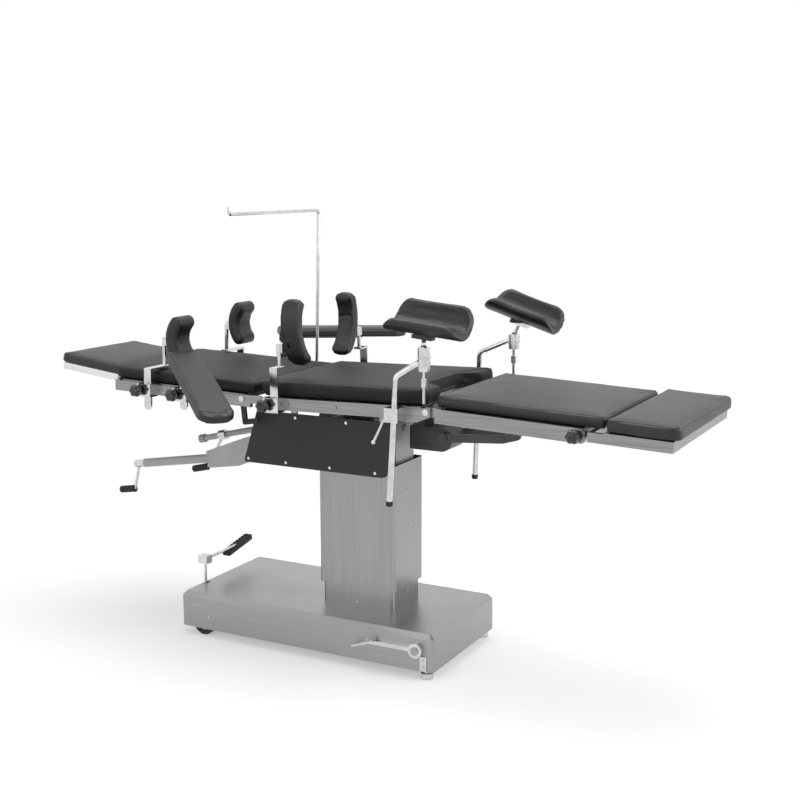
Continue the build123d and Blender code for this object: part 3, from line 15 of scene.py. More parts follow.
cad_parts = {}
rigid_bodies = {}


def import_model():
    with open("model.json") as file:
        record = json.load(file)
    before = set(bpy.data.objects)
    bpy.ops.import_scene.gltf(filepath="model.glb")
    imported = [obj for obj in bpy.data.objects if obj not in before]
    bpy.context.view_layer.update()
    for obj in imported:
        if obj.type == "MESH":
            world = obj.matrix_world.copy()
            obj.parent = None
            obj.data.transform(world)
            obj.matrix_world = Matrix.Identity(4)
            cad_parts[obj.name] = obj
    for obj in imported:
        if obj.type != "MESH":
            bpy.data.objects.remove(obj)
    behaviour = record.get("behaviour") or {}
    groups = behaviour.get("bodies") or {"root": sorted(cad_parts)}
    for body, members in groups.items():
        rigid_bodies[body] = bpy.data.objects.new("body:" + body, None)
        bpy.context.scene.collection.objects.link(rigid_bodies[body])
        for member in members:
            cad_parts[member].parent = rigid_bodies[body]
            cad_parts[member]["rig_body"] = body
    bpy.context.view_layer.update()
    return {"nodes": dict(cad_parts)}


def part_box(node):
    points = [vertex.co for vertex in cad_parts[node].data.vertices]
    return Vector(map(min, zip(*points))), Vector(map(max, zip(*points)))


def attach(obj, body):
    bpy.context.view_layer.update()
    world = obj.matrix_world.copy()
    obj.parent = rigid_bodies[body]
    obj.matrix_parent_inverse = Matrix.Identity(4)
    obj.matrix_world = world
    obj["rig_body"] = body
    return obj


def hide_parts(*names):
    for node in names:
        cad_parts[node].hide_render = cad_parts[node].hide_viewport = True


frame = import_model()
nodes = frame["nodes"]
scene = bpy.context.scene
MM = 0.001

# %% [markdown]
# ## Two small helpers
#
# Paint charts and photographs give colours as sRGB hex values, but shaders add light in linear
# values, so one function turns the first into the second. A second function adds a shader node,
# sets it up and wires it, so that each material below reads as a list of its layers.


# %% Colour and node helpers
def linear(hex_value, alpha=1.0):
    """sRGB hex colour as linear RGBA."""
    channels = []
    for start in (1, 3, 5):
        value = int(hex_value[start:start + 2], 16) / 255
        channels.append(value / 12.92 if value <= 0.04045 else ((value + 0.055) / 1.055) ** 2.4)
    return (*channels, alpha)


def add_node(tree, kind, settings=None, links=None):
    """Adds a node; settings name its attributes or inputs, links give the socket for an input."""
    made = tree.nodes.new(kind)
    for key, value in (settings or {}).items():
        if isinstance(key, str) and hasattr(made, key):
            setattr(made, key, value)
        else:
            made.inputs[key].default_value = value
    for key, socket in (links or {}).items():
        tree.links.new(socket, made.inputs[key])
    return made


# %% [markdown]
# ## Camera
#
# The camera was worked out from the straight edges of the base, the column and the tabletop in the
# photograph. Its three axes and its place are written here as numbers, because that holds the
# photograph's view exactly: about ten degrees above the horizon, from the near side of the foot
# end.

# %% Camera
camera_place = (1.86822, -3.322638, 1.433757)
camera_right = (0.88314337, 0.46909701, -0.00240663)
camera_up = (-0.0790424, 0.15386183, 0.9849258)
camera_back = (0.46239604, -0.86964046, 0.17296061)
camera_data = bpy.data.cameras.new("camera")
camera_data.sensor_width = 36.0
camera_data.lens = 57.378
camera = bpy.data.objects.new("camera", camera_data)
scene.collection.objects.link(camera)
turn = Matrix((camera_right, camera_up, camera_back)).transposed().to_4x4()
camera.matrix_world = Matrix.Translation(camera_place) @ turn
scene.camera = camera
print("camera lens, mm:", camera_data.lens)

# %% [markdown]
# ## Light, background and floor
#
# The photograph is a studio picture on white. The world gives even light, and Light Path makes it
# plain white wherever the camera, a mirror or glass looks straight at it. Three large soft lamps
# shape the metal: one overhead, one beyond the foot end and a weak one at the near side. The floor
# is a pale sheet that adds a little light of its own towards the camera and the metal, and turns to
# plain white a metre or two away, so no horizon shows. Near the base it keeps the table's shadow.

# %% World
world = bpy.data.worlds.new("studio")
scene.world = world
world.use_nodes = True
world.node_tree.nodes.clear()
tree = world.node_tree
path = add_node(tree, "ShaderNodeLightPath")
seen = add_node(tree, "ShaderNodeMath", {"operation": "MAXIMUM"},
                {0: path.outputs["Is Camera Ray"], 1: path.outputs["Is Transmission Ray"]})
seen = add_node(tree, "ShaderNodeMath", {"operation": "MAXIMUM"},
                {0: seen.outputs[0], 1: path.outputs["Is Glossy Ray"]})
ambient = add_node(tree, "ShaderNodeBackground", {"Color": linear("#f6f7f8"), "Strength": 0.42})
white = add_node(tree, "ShaderNodeBackground", {"Color": linear("#ffffff"), "Strength": 1.0})
both = add_node(tree, "ShaderNodeMixShader", None,
                {0: seen.outputs[0], 1: ambient.outputs[0], 2: white.outputs[0]})
add_node(tree, "ShaderNodeOutputWorld", None, {"Surface": both.outputs[0]})
scene.view_settings.view_transform = "Standard"


# %% Lamps
def soft_lamp(name, place, aim, width, height, watts):
    """A rectangular lamp that points at a spot."""
    data = bpy.data.lights.new(name, "AREA")
    data.shape = "RECTANGLE"
    data.size, data.size_y, data.energy = width, height, watts
    lamp = bpy.data.objects.new(name, data)
    scene.collection.objects.link(lamp)
    lamp.location = place
    lamp.rotation_euler = (Vector(aim) - Vector(place)).to_track_quat("-Z", "Y").to_euler()
    return lamp


table_middle = (0.0, 0.0, 0.6)
soft_lamp("overhead", (-0.2, 0.3, 3.6), table_middle, 3.2, 2.2, 62)
soft_lamp("beyond_foot", (3.6, 0.9, 1.9), table_middle, 2.2, 2.4, 60)
soft_lamp("near_fill", (-1.8, -3.8, 2.2), table_middle, 2.4, 2.0, 22)

# %% Floor
bpy.ops.object.select_all(action="DESELECT")
bpy.ops.mesh.primitive_plane_add(size=60.0, location=(0, 0, 0))
floor = bpy.context.object
floor.name = "floor"
sheet = bpy.data.materials.new("pale_floor_sheet")
sheet.use_nodes = True
tree = sheet.node_tree
tree.nodes.clear()
path = add_node(tree, "ShaderNodeLightPath")
seen = add_node(tree, "ShaderNodeMath", {"operation": "MAXIMUM"},
                {0: path.outputs["Is Camera Ray"], 1: path.outputs["Is Transmission Ray"]})
seen = add_node(tree, "ShaderNodeMath", {"operation": "MAXIMUM"},
                {0: seen.outputs[0], 1: path.outputs["Is Glossy Ray"]})
matt = add_node(tree, "ShaderNodeBsdfDiffuse", {"Color": linear("#e6e6e5")})
lift = add_node(tree, "ShaderNodeEmission", {"Color": linear("#ffffff"), "Strength": 0.42})
glow = add_node(tree, "ShaderNodeAddShader", None, {0: matt.outputs[0], 1: lift.outputs[0]})
paper = add_node(tree, "ShaderNodeEmission", {"Color": linear("#ffffff"), "Strength": 1.0})
place = add_node(tree, "ShaderNodeTexCoord")
reach = add_node(tree, "ShaderNodeVectorMath", {"operation": "LENGTH"},
                 {0: place.outputs["Object"]})
fade = add_node(tree, "ShaderNodeMapRange",
                {"interpolation_type": "SMOOTHSTEP", "From Min": 0.95, "From Max": 2.3},
                {"Value": reach.outputs["Value"]})
faded = add_node(tree, "ShaderNodeMixShader", None,
                 {0: fade.outputs[0], 1: glow.outputs[0], 2: paper.outputs[0]})
pick = add_node(tree, "ShaderNodeMixShader", None,
                {0: seen.outputs[0], 1: matt.outputs[0], 2: faded.outputs[0]})
add_node(tree, "ShaderNodeOutputMaterial", None, {"Surface": pick.outputs[0]})
floor.data.materials.append(sheet)

# %% [markdown]
# ## Metals
#
# Stainless sheet is brushed: a belt leaves fine scratches in one direction, which spread highlights
# across them. Real scratches are a few hundredths of a millimetre wide, too fine for this picture,
# so they are drawn about 2 mm apart. The noise that draws them is stretched along the brushing
# direction, and it varies the colour, the roughness and the bump a little. A second, broad noise is
# the haze that wiping leaves. Chrome is the same recipe with hardly any scratches.


# %% Metal recipe
def metal_finish(name, dark, light, roughness, spread, grain, haze_size=0.16, relief=0.00004,
                 anisotropic=0.0):
    """A metal with scratches stretched by grain (m along x, y, z) and a broad haze."""
    material = bpy.data.materials.new(name)
    material.use_nodes = True
    tree = material.node_tree
    shader = tree.nodes["Principled BSDF"]
    shader.inputs["Metallic"].default_value = 1.0
    shader.inputs["Anisotropic"].default_value = anisotropic
    place = add_node(tree, "ShaderNodeTexCoord")
    stretched = add_node(tree, "ShaderNodeMapping",
                         {"Scale": tuple(1 / length for length in grain)},
                         {"Vector": place.outputs["Object"]})
    scratch = add_node(tree, "ShaderNodeTexNoise",
                       {"Scale": 1.0, "Detail": 3.0, "Roughness": 0.62},
                       {"Vector": stretched.outputs[0]})
    haze = add_node(tree, "ShaderNodeTexNoise",
                    {"Scale": 1 / haze_size, "Detail": 4.0, "Roughness": 0.55},
                    {"Vector": place.outputs["Object"]})
    tone = add_node(tree, "ShaderNodeMapRange",
                    {"From Min": 0.35, "From Max": 0.65, "To Min": 0.0, "To Max": 1.0},
                    {"Value": scratch.outputs["Fac"]})
    colour = add_node(tree, "ShaderNodeMixRGB",
                      {"Color1": linear(dark), "Color2": linear(light)},
                      {"Fac": tone.outputs[0]})
    fine = add_node(tree, "ShaderNodeMapRange",
                    {"From Min": 0.3, "From Max": 0.7, "To Min": -spread, "To Max": spread},
                    {"Value": scratch.outputs["Fac"]})
    broad = add_node(tree, "ShaderNodeMapRange",
                     {"From Min": 0.3, "From Max": 0.7, "To Min": roughness - spread,
                      "To Max": roughness + spread},
                     {"Value": haze.outputs["Fac"]})
    rough = add_node(tree, "ShaderNodeMath", {"operation": "ADD"},
                     {0: fine.outputs[0], 1: broad.outputs[0]})
    bump = add_node(tree, "ShaderNodeBump", {"Strength": 0.6, "Distance": relief},
                    {"Height": scratch.outputs["Fac"]})
    tree.links.new(colour.outputs[0], shader.inputs["Base Color"])
    tree.links.new(rough.outputs[0], shader.inputs["Roughness"])
    tree.links.new(bump.outputs[0], shader.inputs["Normal"])
    return material


# %% Metals
# Brushed 304 stainless sheet, brushed along the base: a soft grey with long fine streaks.
brushed_along = metal_finish("brushed_stainless_along", "#9a9b9b", "#a7a8a7", 0.32, 0.04,
                             (0.35, 0.0022, 0.0022), anisotropic=0.3)
# The same sheet with its streaks upright, as on the telescoping column covers.
brushed_upright = metal_finish("brushed_stainless_upright", "#929393", "#a1a2a1", 0.34, 0.04,
                               (0.0024, 0.0024, 0.45), anisotropic=0.3)
# Ground and polished stainless bar of the rails: brighter, with short streaks along the rail.
rail_bar = metal_finish("ground_stainless_bar", "#868787", "#9e9f9e", 0.27, 0.05,
                        (0.16, 0.0018, 0.0018), haze_size=0.09)
# Decorative chrome plate on clamps, rods and cranks: mirror-like with faint wiping marks.
chrome = metal_finish("chrome_plate", "#c4c6c7", "#dcdddd", 0.12, 0.03,
                      (0.02, 0.02, 0.02), haze_size=0.05, relief=0.00001)
# Satin anodised aluminium of the head frame: even, slightly matt, a shade warmer.
satin_aluminium = metal_finish("satin_anodised_aluminium", "#d9dad8", "#e6e7e5", 0.34, 0.04,
                               (0.06, 0.0016, 0.0016), haze_size=0.07)
print("metals:", brushed_along.name, rail_bar.name, chrome.name)

# %% [markdown]
# ## Paints, plastics and rubber
#
# Powder coat and enamel are smooth skins with a shallow orange-peel waviness a few millimetres
# across. Moulded rubber and phenolic knobs have a finer, duller grain. One recipe serves them all:
# two nearby colours mixed by a broad noise for handling marks, a roughness that follows it, and a
# fine noise as relief.


# %% Coating recipe
def coated_finish(name, dark, light, roughness, spread, grain_size, relief, coat=0.0,
                  coat_roughness=0.2, mark_size=0.07):
    """A painted or moulded surface with grain and handling marks."""
    material = bpy.data.materials.new(name)
    material.use_nodes = True
    tree = material.node_tree
    shader = tree.nodes["Principled BSDF"]
    shader.inputs["Coat Weight"].default_value = coat
    shader.inputs["Coat Roughness"].default_value = coat_roughness
    place = add_node(tree, "ShaderNodeTexCoord")
    marks = add_node(tree, "ShaderNodeTexNoise",
                     {"Scale": 1 / mark_size, "Detail": 5.0, "Roughness": 0.6},
                     {"Vector": place.outputs["Object"]})
    grain = add_node(tree, "ShaderNodeTexNoise",
                     {"Scale": 1 / grain_size, "Detail": 2.0, "Roughness": 0.5},
                     {"Vector": place.outputs["Object"]})
    tone = add_node(tree, "ShaderNodeMapRange",
                    {"From Min": 0.35, "From Max": 0.65, "To Min": 0.0, "To Max": 1.0},
                    {"Value": marks.outputs["Fac"]})
    colour = add_node(tree, "ShaderNodeMixRGB", {"Color1": linear(dark), "Color2": linear(light)},
                      {"Fac": tone.outputs[0]})
    rough = add_node(tree, "ShaderNodeMapRange",
                     {"From Min": 0.3, "From Max": 0.7, "To Min": roughness - spread,
                      "To Max": roughness + spread},
                     {"Value": marks.outputs["Fac"]})
    bump = add_node(tree, "ShaderNodeBump", {"Strength": 0.5, "Distance": relief},
                    {"Height": grain.outputs["Fac"]})
    tree.links.new(colour.outputs[0], shader.inputs["Base Color"])
    tree.links.new(rough.outputs[0], shader.inputs["Roughness"])
    tree.links.new(bump.outputs[0], shader.inputs["Normal"])
    return material


# %% Paints, plastics and rubber
# Black satin powder coat on the side skirts: deep, with a broad soft highlight.
black_powder = coated_finish("black_satin_powder_coat", "#0b0b0c", "#121213", 0.50, 0.05, 0.004,
                             0.00012)
# Dark grey hammered enamel on the chassis, the gearbox and the lifting arm.
dark_enamel = coated_finish("dark_grey_enamel", "#4a4b4c", "#565758", 0.40, 0.06, 0.006, 0.0002)
# Light grey enamel on castings and the control housing: glossy topcoat over a smooth filler.
light_enamel = coated_finish("light_grey_enamel", "#b2b4b4", "#bfc1c0", 0.36, 0.05, 0.008, 0.0001,
                             coat=0.35)
# Moulded nitrile rubber of grips and the pedal: dull, with a fine spark-eroded grain.
moulded_rubber = coated_finish("moulded_rubber", "#131313", "#1d1d1d", 0.62, 0.06, 0.0022, 0.0002)
# Solid castor rubber: black, with greyer patches of floor dust.
castor_rubber = coated_finish("castor_rubber", "#1c1c1c", "#2b2a29", 0.58, 0.08, 0.005, 0.0003)
# Phenolic star knobs: hard, black and polished by hands.
phenolic = coated_finish("black_phenolic", "#0f0f0f", "#171718", 0.28, 0.06, 0.006, 0.00006,
                         coat=0.4, coat_roughness=0.12)
print("coatings:", black_powder.name, light_enamel.name, phenolic.name)

# %% [markdown]
# ## Upholstery
#
# The cushions are foam on a board, covered in black coated fabric. The coating has a pebble grain
# about 1 mm across, drawn at 3 mm here so that it shows, with a slow unevenness from the foam under
# it. Voronoi cells make the pebbles, and their edges are the creases between them. Sheen stands for
# the soft haze of a matt coating.


# %% Upholstery material
def cover_finish(name, dark, light, roughness, pebble=0.003, relief=0.00022, sheen=0.06,
                 ior=1.5):
    """Black coated fabric with a pebble grain and slow waves."""
    material = bpy.data.materials.new(name)
    material.use_nodes = True
    tree = material.node_tree
    shader = tree.nodes["Principled BSDF"]
    shader.inputs["Sheen Weight"].default_value = sheen
    shader.inputs["Sheen Roughness"].default_value = 0.5
    shader.inputs["IOR"].default_value = ior
    place = add_node(tree, "ShaderNodeTexCoord")
    cells = add_node(tree, "ShaderNodeTexVoronoi",
                     {"feature": "DISTANCE_TO_EDGE", "Scale": 1 / pebble},
                     {"Vector": place.outputs["Object"]})
    crease = add_node(tree, "ShaderNodeMapRange",
                      {"From Min": 0.0, "From Max": 0.22, "To Min": 0.0, "To Max": 1.0},
                      {"Value": cells.outputs["Distance"]})
    wave = add_node(tree, "ShaderNodeTexNoise", {"Scale": 14.0, "Detail": 3.0},
                    {"Vector": place.outputs["Object"]})
    rub = add_node(tree, "ShaderNodeTexNoise", {"Scale": 7.0, "Detail": 6.0, "Roughness": 0.65},
                   {"Vector": place.outputs["Object"]})
    tone = add_node(tree, "ShaderNodeMapRange",
                    {"From Min": 0.35, "From Max": 0.7, "To Min": 0.0, "To Max": 1.0},
                    {"Value": rub.outputs["Fac"]})
    colour = add_node(tree, "ShaderNodeMixRGB", {"Color1": linear(dark), "Color2": linear(light)},
                      {"Fac": tone.outputs[0]})
    rough = add_node(tree, "ShaderNodeMapRange",
                     {"From Min": 0.3, "From Max": 0.7, "To Min": roughness - 0.04,
                      "To Max": roughness + 0.05}, {"Value": rub.outputs["Fac"]})
    slow = add_node(tree, "ShaderNodeBump", {"Strength": 0.35, "Distance": 0.0012},
                    {"Height": wave.outputs["Fac"]})
    bump = add_node(tree, "ShaderNodeBump", {"Strength": 0.5, "Distance": relief},
                    {"Height": crease.outputs[0], "Normal": slow.outputs[0]})
    tree.links.new(colour.outputs[0], shader.inputs["Base Color"])
    tree.links.new(rough.outputs[0], shader.inputs["Roughness"])
    tree.links.new(bump.outputs[0], shader.inputs["Normal"])
    return material


# Coated upholstery fabric, black: grey at a grazing view, nearly black seen square on.
table_cover = cover_finish("black_coated_upholstery", "#151516", "#1f1f21", 0.45)
# The back and seat get a matt copy of the cover, darker in colour: the darker colour is painted
# shade, standing in for the dark reflection on these two pads.
dark_reflection_cover = cover_finish("matt_worn_upholstery", "#0f0f10", "#171719", 0.56, sheen=0.03, ior=1.36)
# Moulded skin of the arm, shoulder, body and leg rests: the same black, a little smoother.
rest_cover = cover_finish("black_rest_skin", "#0b0b0c", "#131314", 0.42, pebble=0.0024,
                          relief=0.00014, sheen=0.03)
# Piping in the seams: the same fabric wrapped round a cord, coloured lighter than the cover as a
# painted highlight along the seam line.
piping_painted_highlight_cover = cover_finish("rubbed_piping", "#242425", "#3a3a3b", 0.34, pebble=0.002,
                            relief=0.0001)
print("covers:", table_cover.name, rest_cover.name)

# %% [markdown]
# ## Finishes for the CAD nodes
#
# A CAD node keeps its mesh. Only its material slots are filled again, with the finish that the real
# part has. The dictionary reads like a finish schedule in a workshop drawing.

# %% Finish schedule
finish_schedule = {
    brushed_along: ["base_cover"],
    brushed_upright: ["lower_shroud", "upper_shroud", "hydraulic_cylinder"],
    rail_bar: ["seat_frame", "back_frame", "leg_frame", "foot_frame"],
    chrome: ["column_ram", "hinge_pins", "skirt_screws", "front_crank", "rear_crank",
             "rail_clamps_back", "rail_clamps_seat", "shoulder_bar_near", "shoulder_bar_far",
             "body_bar_near", "body_bar_far", "arm_posts", "leg_rod_near", "leg_rod_far",
             "screen_frame", "brake_pedal", "pump_lever",
             "floor_jacks"],
    black_powder: ["side_skirts", "back_lever"],
    dark_enamel: ["base_chassis", "leg_gearbox", "leg_arm"],
    light_enamel: ["column_head", "control_housing", "tilt_cradle"],
    satin_aluminium: ["head_frame"],
    moulded_rubber: ["pump_pedal_pad"],
}
for material, names in finish_schedule.items():
    for name in names:
        mesh = nodes[name].data
        if not mesh.materials:
            mesh.materials.append(material)
        for slot in range(len(mesh.materials)):
            mesh.materials[slot] = material
print("nodes with a finish:", sum(len(names) for names in finish_schedule.values()))

# %% [markdown]
# ## Soft parts
#
# Each cushion starts from its own CAD shape, a millimetre smaller. A voxel remesh gives it
# an even skin, and a short cloth simulation with air pressure inside makes that skin swell between
# its edges, as foam fills a tight cover. The face that lies on the board is pinned, so it stays
# flat. All the cushions are simulated together, in one run of twenty frames.


# %% Helpers for pieces
def only(piece):
    """Selects one object and makes it active."""
    bpy.ops.object.select_all(action="DESELECT")
    piece.select_set(True)
    bpy.context.view_layer.objects.active = piece


def copy_of(node_name, piece_name):
    """A closed copy of a CAD node's mesh, as a new object."""
    piece = bpy.data.objects.new(piece_name, nodes[node_name].data.copy())
    scene.collection.objects.link(piece)
    piece.data.materials.clear()
    only(piece)
    bpy.ops.object.mode_set(mode="EDIT")
    bpy.ops.mesh.select_all(action="SELECT")
    bpy.ops.mesh.remove_doubles(threshold=0.00001)
    bpy.ops.mesh.normals_make_consistent(inside=False)
    bpy.ops.mesh.delete_loose()
    bpy.ops.object.mode_set(mode="OBJECT")
    return piece


def apply_all(piece):
    """Applies every modifier in order."""
    only(piece)
    for modifier in list(piece.modifiers):
        bpy.ops.object.modifier_apply(modifier=modifier.name)


def edit_by(kind):
    """Opens edit mode with vertices or faces as what is picked."""
    scene.tool_settings.mesh_select_mode = (kind == "VERT", False, kind == "FACE")
    bpy.ops.object.mode_set(mode="EDIT")


def body_of(node_name):
    """The body that a CAD node rides on."""
    return nodes[node_name]["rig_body"]


# %% [markdown]
# ### Arm boards: cushion and carrier
#
# An arm board is one CAD node with a metal carrier and a cushion. They part here into loose shells:
# the largest is the cushion, the others are the carrier, which gets metal.

# %% Split the arm boards
soft_parts = {}
carriers = []
for word in ("near", "far"):
    node_name = f"arm_board_{word}"
    board = copy_of(node_name, f"board_{word}")
    only(board)
    bpy.ops.object.mode_set(mode="EDIT")
    bpy.ops.mesh.select_all(action="SELECT")
    bpy.ops.mesh.separate(type="LOOSE")
    bpy.ops.object.mode_set(mode="OBJECT")
    shells = sorted(bpy.context.selected_objects, key=lambda shell: max(shell.dimensions))
    cushion = shells.pop()
    cushion.name = f"arm_cushion_{word}"
    bpy.ops.object.select_all(action="DESELECT")
    for shell in shells:
        shell.select_set(True)
    bpy.context.view_layer.objects.active = shells[0]
    if len(shells) > 1:
        bpy.ops.object.join()
    carrier = bpy.context.object
    carrier.name = f"arm_carrier_{word}"
    carriers.append((carrier, node_name))
    soft_parts[cushion.name] = (cushion, node_name)
    print(node_name, "cushion size, mm:", [round(d / MM) for d in cushion.dimensions])

# %% Copies of the other cushions
plain_cushions = {
    "head_cushion": "head_pad", "back_cushion": "back_pad", "seat_cushion": "seat_pad",
    "leg_cushion": "leg_pad", "foot_cushion": "foot_pad",
    "shoulder_rest_near": "shoulder_pad_near", "shoulder_rest_far": "shoulder_pad_far",
    "body_rest_near": "body_pad_near", "body_rest_far": "body_pad_far",
    "leg_trough_near": "leg_holder_pad_near", "leg_trough_far": "leg_holder_pad_far",
}
for piece_name, node_name in plain_cushions.items():
    soft_parts[piece_name] = (copy_of(node_name, piece_name), node_name)
print("soft pieces:", sorted(soft_parts))

# %% [markdown]
# ### Skin, pressure and pins
#
# The rest direction is where each cushion leans on its board or stay. Faces that point that way are
# pinned. The large table cushions use 6 mm voxels and the small rests 4 mm.

# %% Remesh and prepare the cloth
rest_direction = {
    "shoulder_rest_near": (-1, 0, 0), "shoulder_rest_far": (-1, 0, 0),
    "body_rest_near": (0, -1, 0), "body_rest_far": (0, 1, 0),
}
table_cushions = ("head_cushion", "back_cushion", "seat_cushion", "leg_cushion", "foot_cushion")
tight_gap = 0.0010
table_voxel, rest_voxel = 0.006, 0.004
table_cap, rest_cap = 0.0026, 0.0032
cap = {name: table_cap if name in table_cushions else rest_cap for name in soft_parts}
start_places = {}
for name, (piece, _) in soft_parts.items():
    only(piece)
    bpy.ops.object.mode_set(mode="EDIT")
    bpy.ops.mesh.select_all(action="SELECT")
    bpy.ops.transform.shrink_fatten(value=-tight_gap, use_even_offset=True)
    bpy.ops.object.mode_set(mode="OBJECT")
    remesh = piece.modifiers.new("skin", "REMESH")
    remesh.mode = "VOXEL"
    remesh.voxel_size = table_voxel if name in table_cushions else rest_voxel
    smooth = piece.modifiers.new("ease", "SMOOTH")
    smooth.factor, smooth.iterations = 0.5, 2
    apply_all(piece)
    down = Vector(rest_direction.get(name, (0, 0, -1)))
    group = piece.vertex_groups.new(name="on_board")
    group.add([v.index for v in piece.data.vertices if v.normal.dot(down) > 0.75], 1.0, "REPLACE")
    start_places[name] = [v.co.copy() for v in piece.data.vertices]
    print(name, "faces:", len(piece.data.polygons))

# %% Run the cloth
last_frame, air_pressure = 20, 4.0
for piece, _ in soft_parts.values():
    cloth = piece.modifiers.new("pressure", "CLOTH")
    cloth.settings.quality = 4
    cloth.settings.mass = 0.3
    cloth.settings.use_pressure = True
    cloth.settings.uniform_pressure_force = air_pressure
    cloth.settings.vertex_group_mass = "on_board"
    cloth.settings.effector_weights.gravity = 0.0
    cloth.collision_settings.use_collision = False
    cloth.point_cache.frame_start, cloth.point_cache.frame_end = 1, last_frame
for moment in range(1, last_frame + 1):
    scene.frame_set(moment)
view = bpy.context.evaluated_depsgraph_get()
for name, (piece, _) in soft_parts.items():
    swollen = piece.evaluated_get(view).data
    moved = [v.co.copy() for v in swollen.vertices]
    piece.modifiers.remove(piece.modifiers["pressure"])
    furthest = 0.0
    for vertex, old, new in zip(piece.data.vertices, start_places[name], moved):
        step = new - old
        furthest = max(furthest, step.length)
        if step.length > cap[name]:
            step *= cap[name] / step.length
        vertex.co = old + step
    print(name, "furthest move before the cap, mm:", round(furthest / MM, 1))
scene.frame_set(1)

# %% Smooth skins and covers
for name, (piece, node_name) in soft_parts.items():
    piece.vertex_groups.clear()
    ease = piece.modifiers.new("ease", "SMOOTH")
    ease.factor, ease.iterations = 0.5, 1
    fine = piece.modifiers.new("fine", "SUBSURF")
    fine.levels = fine.render_levels = 1
    apply_all(piece)
    bpy.ops.object.shade_smooth()
    # Back and seat take the darker cover, whose colour is painted shade for the dark reflection on
    # them.
    dark_reflection_pad = name in ("back_cushion", "seat_cushion")
    piece.data.materials.append(dark_reflection_cover if dark_reflection_pad else
                                table_cover if name in table_cushions else rest_cover)
    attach(piece, body_of(node_name))
    if not node_name.startswith("arm_board"):
        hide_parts(node_name)

# %% Arm board carriers
for (carrier, node_name), word in zip(carriers, ("near", "far")):
    carrier.data.materials.append(dark_enamel)
    only(carrier)
    bevel = carrier.modifiers.new("eased_edges", "BEVEL")
    bevel.width, bevel.segments, bevel.limit_method = 0.0008, 2, "ANGLE"
    apply_all(carrier)
    bpy.ops.object.shade_smooth_by_angle(angle=math.radians(35))
    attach(carrier, body_of(node_name))
    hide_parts(node_name)
print("carriers:", [carrier.name for carrier, _ in carriers])

# %% [markdown]
# ## Welts
#
# All covers but the leg troughs' are sewn from a top panel and a side band here, and the seam
# stands up as a thin rounded welt. A plane is cut through the finished skin just inside each edge.
# The cut leaves a closed line on the skin, which becomes a curve, gets a round section and turns
# into a mesh again.


# %% Welt maker
def top_direction(piece):
    """The mean normal of the faces that look up, weighted by area."""
    total = Vector((0, 0, 0))
    for face in piece.data.polygons:
        if face.normal.z > 0.8:
            total += face.normal * face.area
    return total.normalized()


def finish_piece(piece, body, material, angle=35):
    """Last steps of a rigid piece: place in the mesh, smooth faces, finish, slot and body."""
    only(piece)
    bpy.ops.object.transform_apply(location=True, rotation=True, scale=True)
    bpy.ops.object.shade_smooth_by_angle(angle=math.radians(angle))
    piece.data.materials.clear()
    piece.data.materials.append(material)
    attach(piece, body)
    return piece


def joined(pieces, name):
    """Several objects as one."""
    bpy.ops.object.select_all(action="DESELECT")
    for piece in pieces:
        piece.select_set(True)
    bpy.context.view_layer.objects.active = pieces[0]
    if len(pieces) > 1:
        bpy.ops.object.join()
    pieces[0].name = name
    return pieces[0]


def welt(cushion_name, cuts, radius):
    """Round welts on a cushion, one for each (place, normal) of a cutting plane."""
    cushion, node_name = soft_parts[cushion_name]
    rings = []
    for place, normal in cuts:
        ring = bpy.data.objects.new("ring", cushion.data.copy())
        scene.collection.objects.link(ring)
        only(ring)
        bpy.ops.object.mode_set(mode="EDIT")
        bpy.ops.mesh.select_all(action="SELECT")
        bpy.ops.mesh.bisect(plane_co=place, plane_no=normal, clear_inner=True, clear_outer=True)
        bpy.ops.object.mode_set(mode="OBJECT")
        bpy.ops.object.convert(target="CURVE")
        ring.data.bevel_depth, ring.data.bevel_resolution = radius, 1
        bpy.ops.object.convert(target="MESH")
        rings.append(ring)
    # The welt takes the lighter piping colour, a painted highlight along the seam.
    made = finish_piece(joined(rings, f"welt_{cushion_name}"), body_of(node_name),
                        piping_painted_highlight_cover, angle=60)
    bpy.ops.object.shade_smooth()
    return made


# %% Sew the welts
seam_depth = {name: 0.0085 for name in table_cushions}
seam_depth.update({"arm_cushion_near": 0.0070, "arm_cushion_far": 0.0070})
for name, depth in seam_depth.items():
    cushion = soft_parts[name][0]
    up = top_direction(cushion)
    highest = max(vertex.co.dot(up) for vertex in cushion.data.vertices)
    made = welt(name, [(up * (highest - depth), up)], 0.0013)
    print(made.name, "faces:", len(made.data.polygons))
side_seam = 0.0065
for name, axis in (("shoulder_rest_near", 1), ("shoulder_rest_far", 1),
                   ("body_rest_near", 0), ("body_rest_far", 0)):
    places = [vertex.co[axis] for vertex in soft_parts[name][0].data.vertices]
    normal = Vector([1.0 if index == axis else 0.0 for index in range(3)])
    cuts = [(normal * (min(places) + side_seam), normal),
            (normal * (max(places) - side_seam), normal)]
    made = welt(name, cuts, 0.0012)
    print(made.name, "faces:", len(made.data.polygons))

# %% [markdown]
# ## Lobed knobs
#
# The clamps are tightened with black phenolic hand knobs: a ball with six soft lobes for the
# fingers. One knob is modelled: a 48-sided cylinder whose vertices are pulled in between the lobes,
# closed towards both ends in rounded steps, with a short collar on the clamp side. Copies of it go
# where the CAD has its plain ones. The bars that turn the leg holder clamps are the other shells of
# the same node, and become chrome pieces.

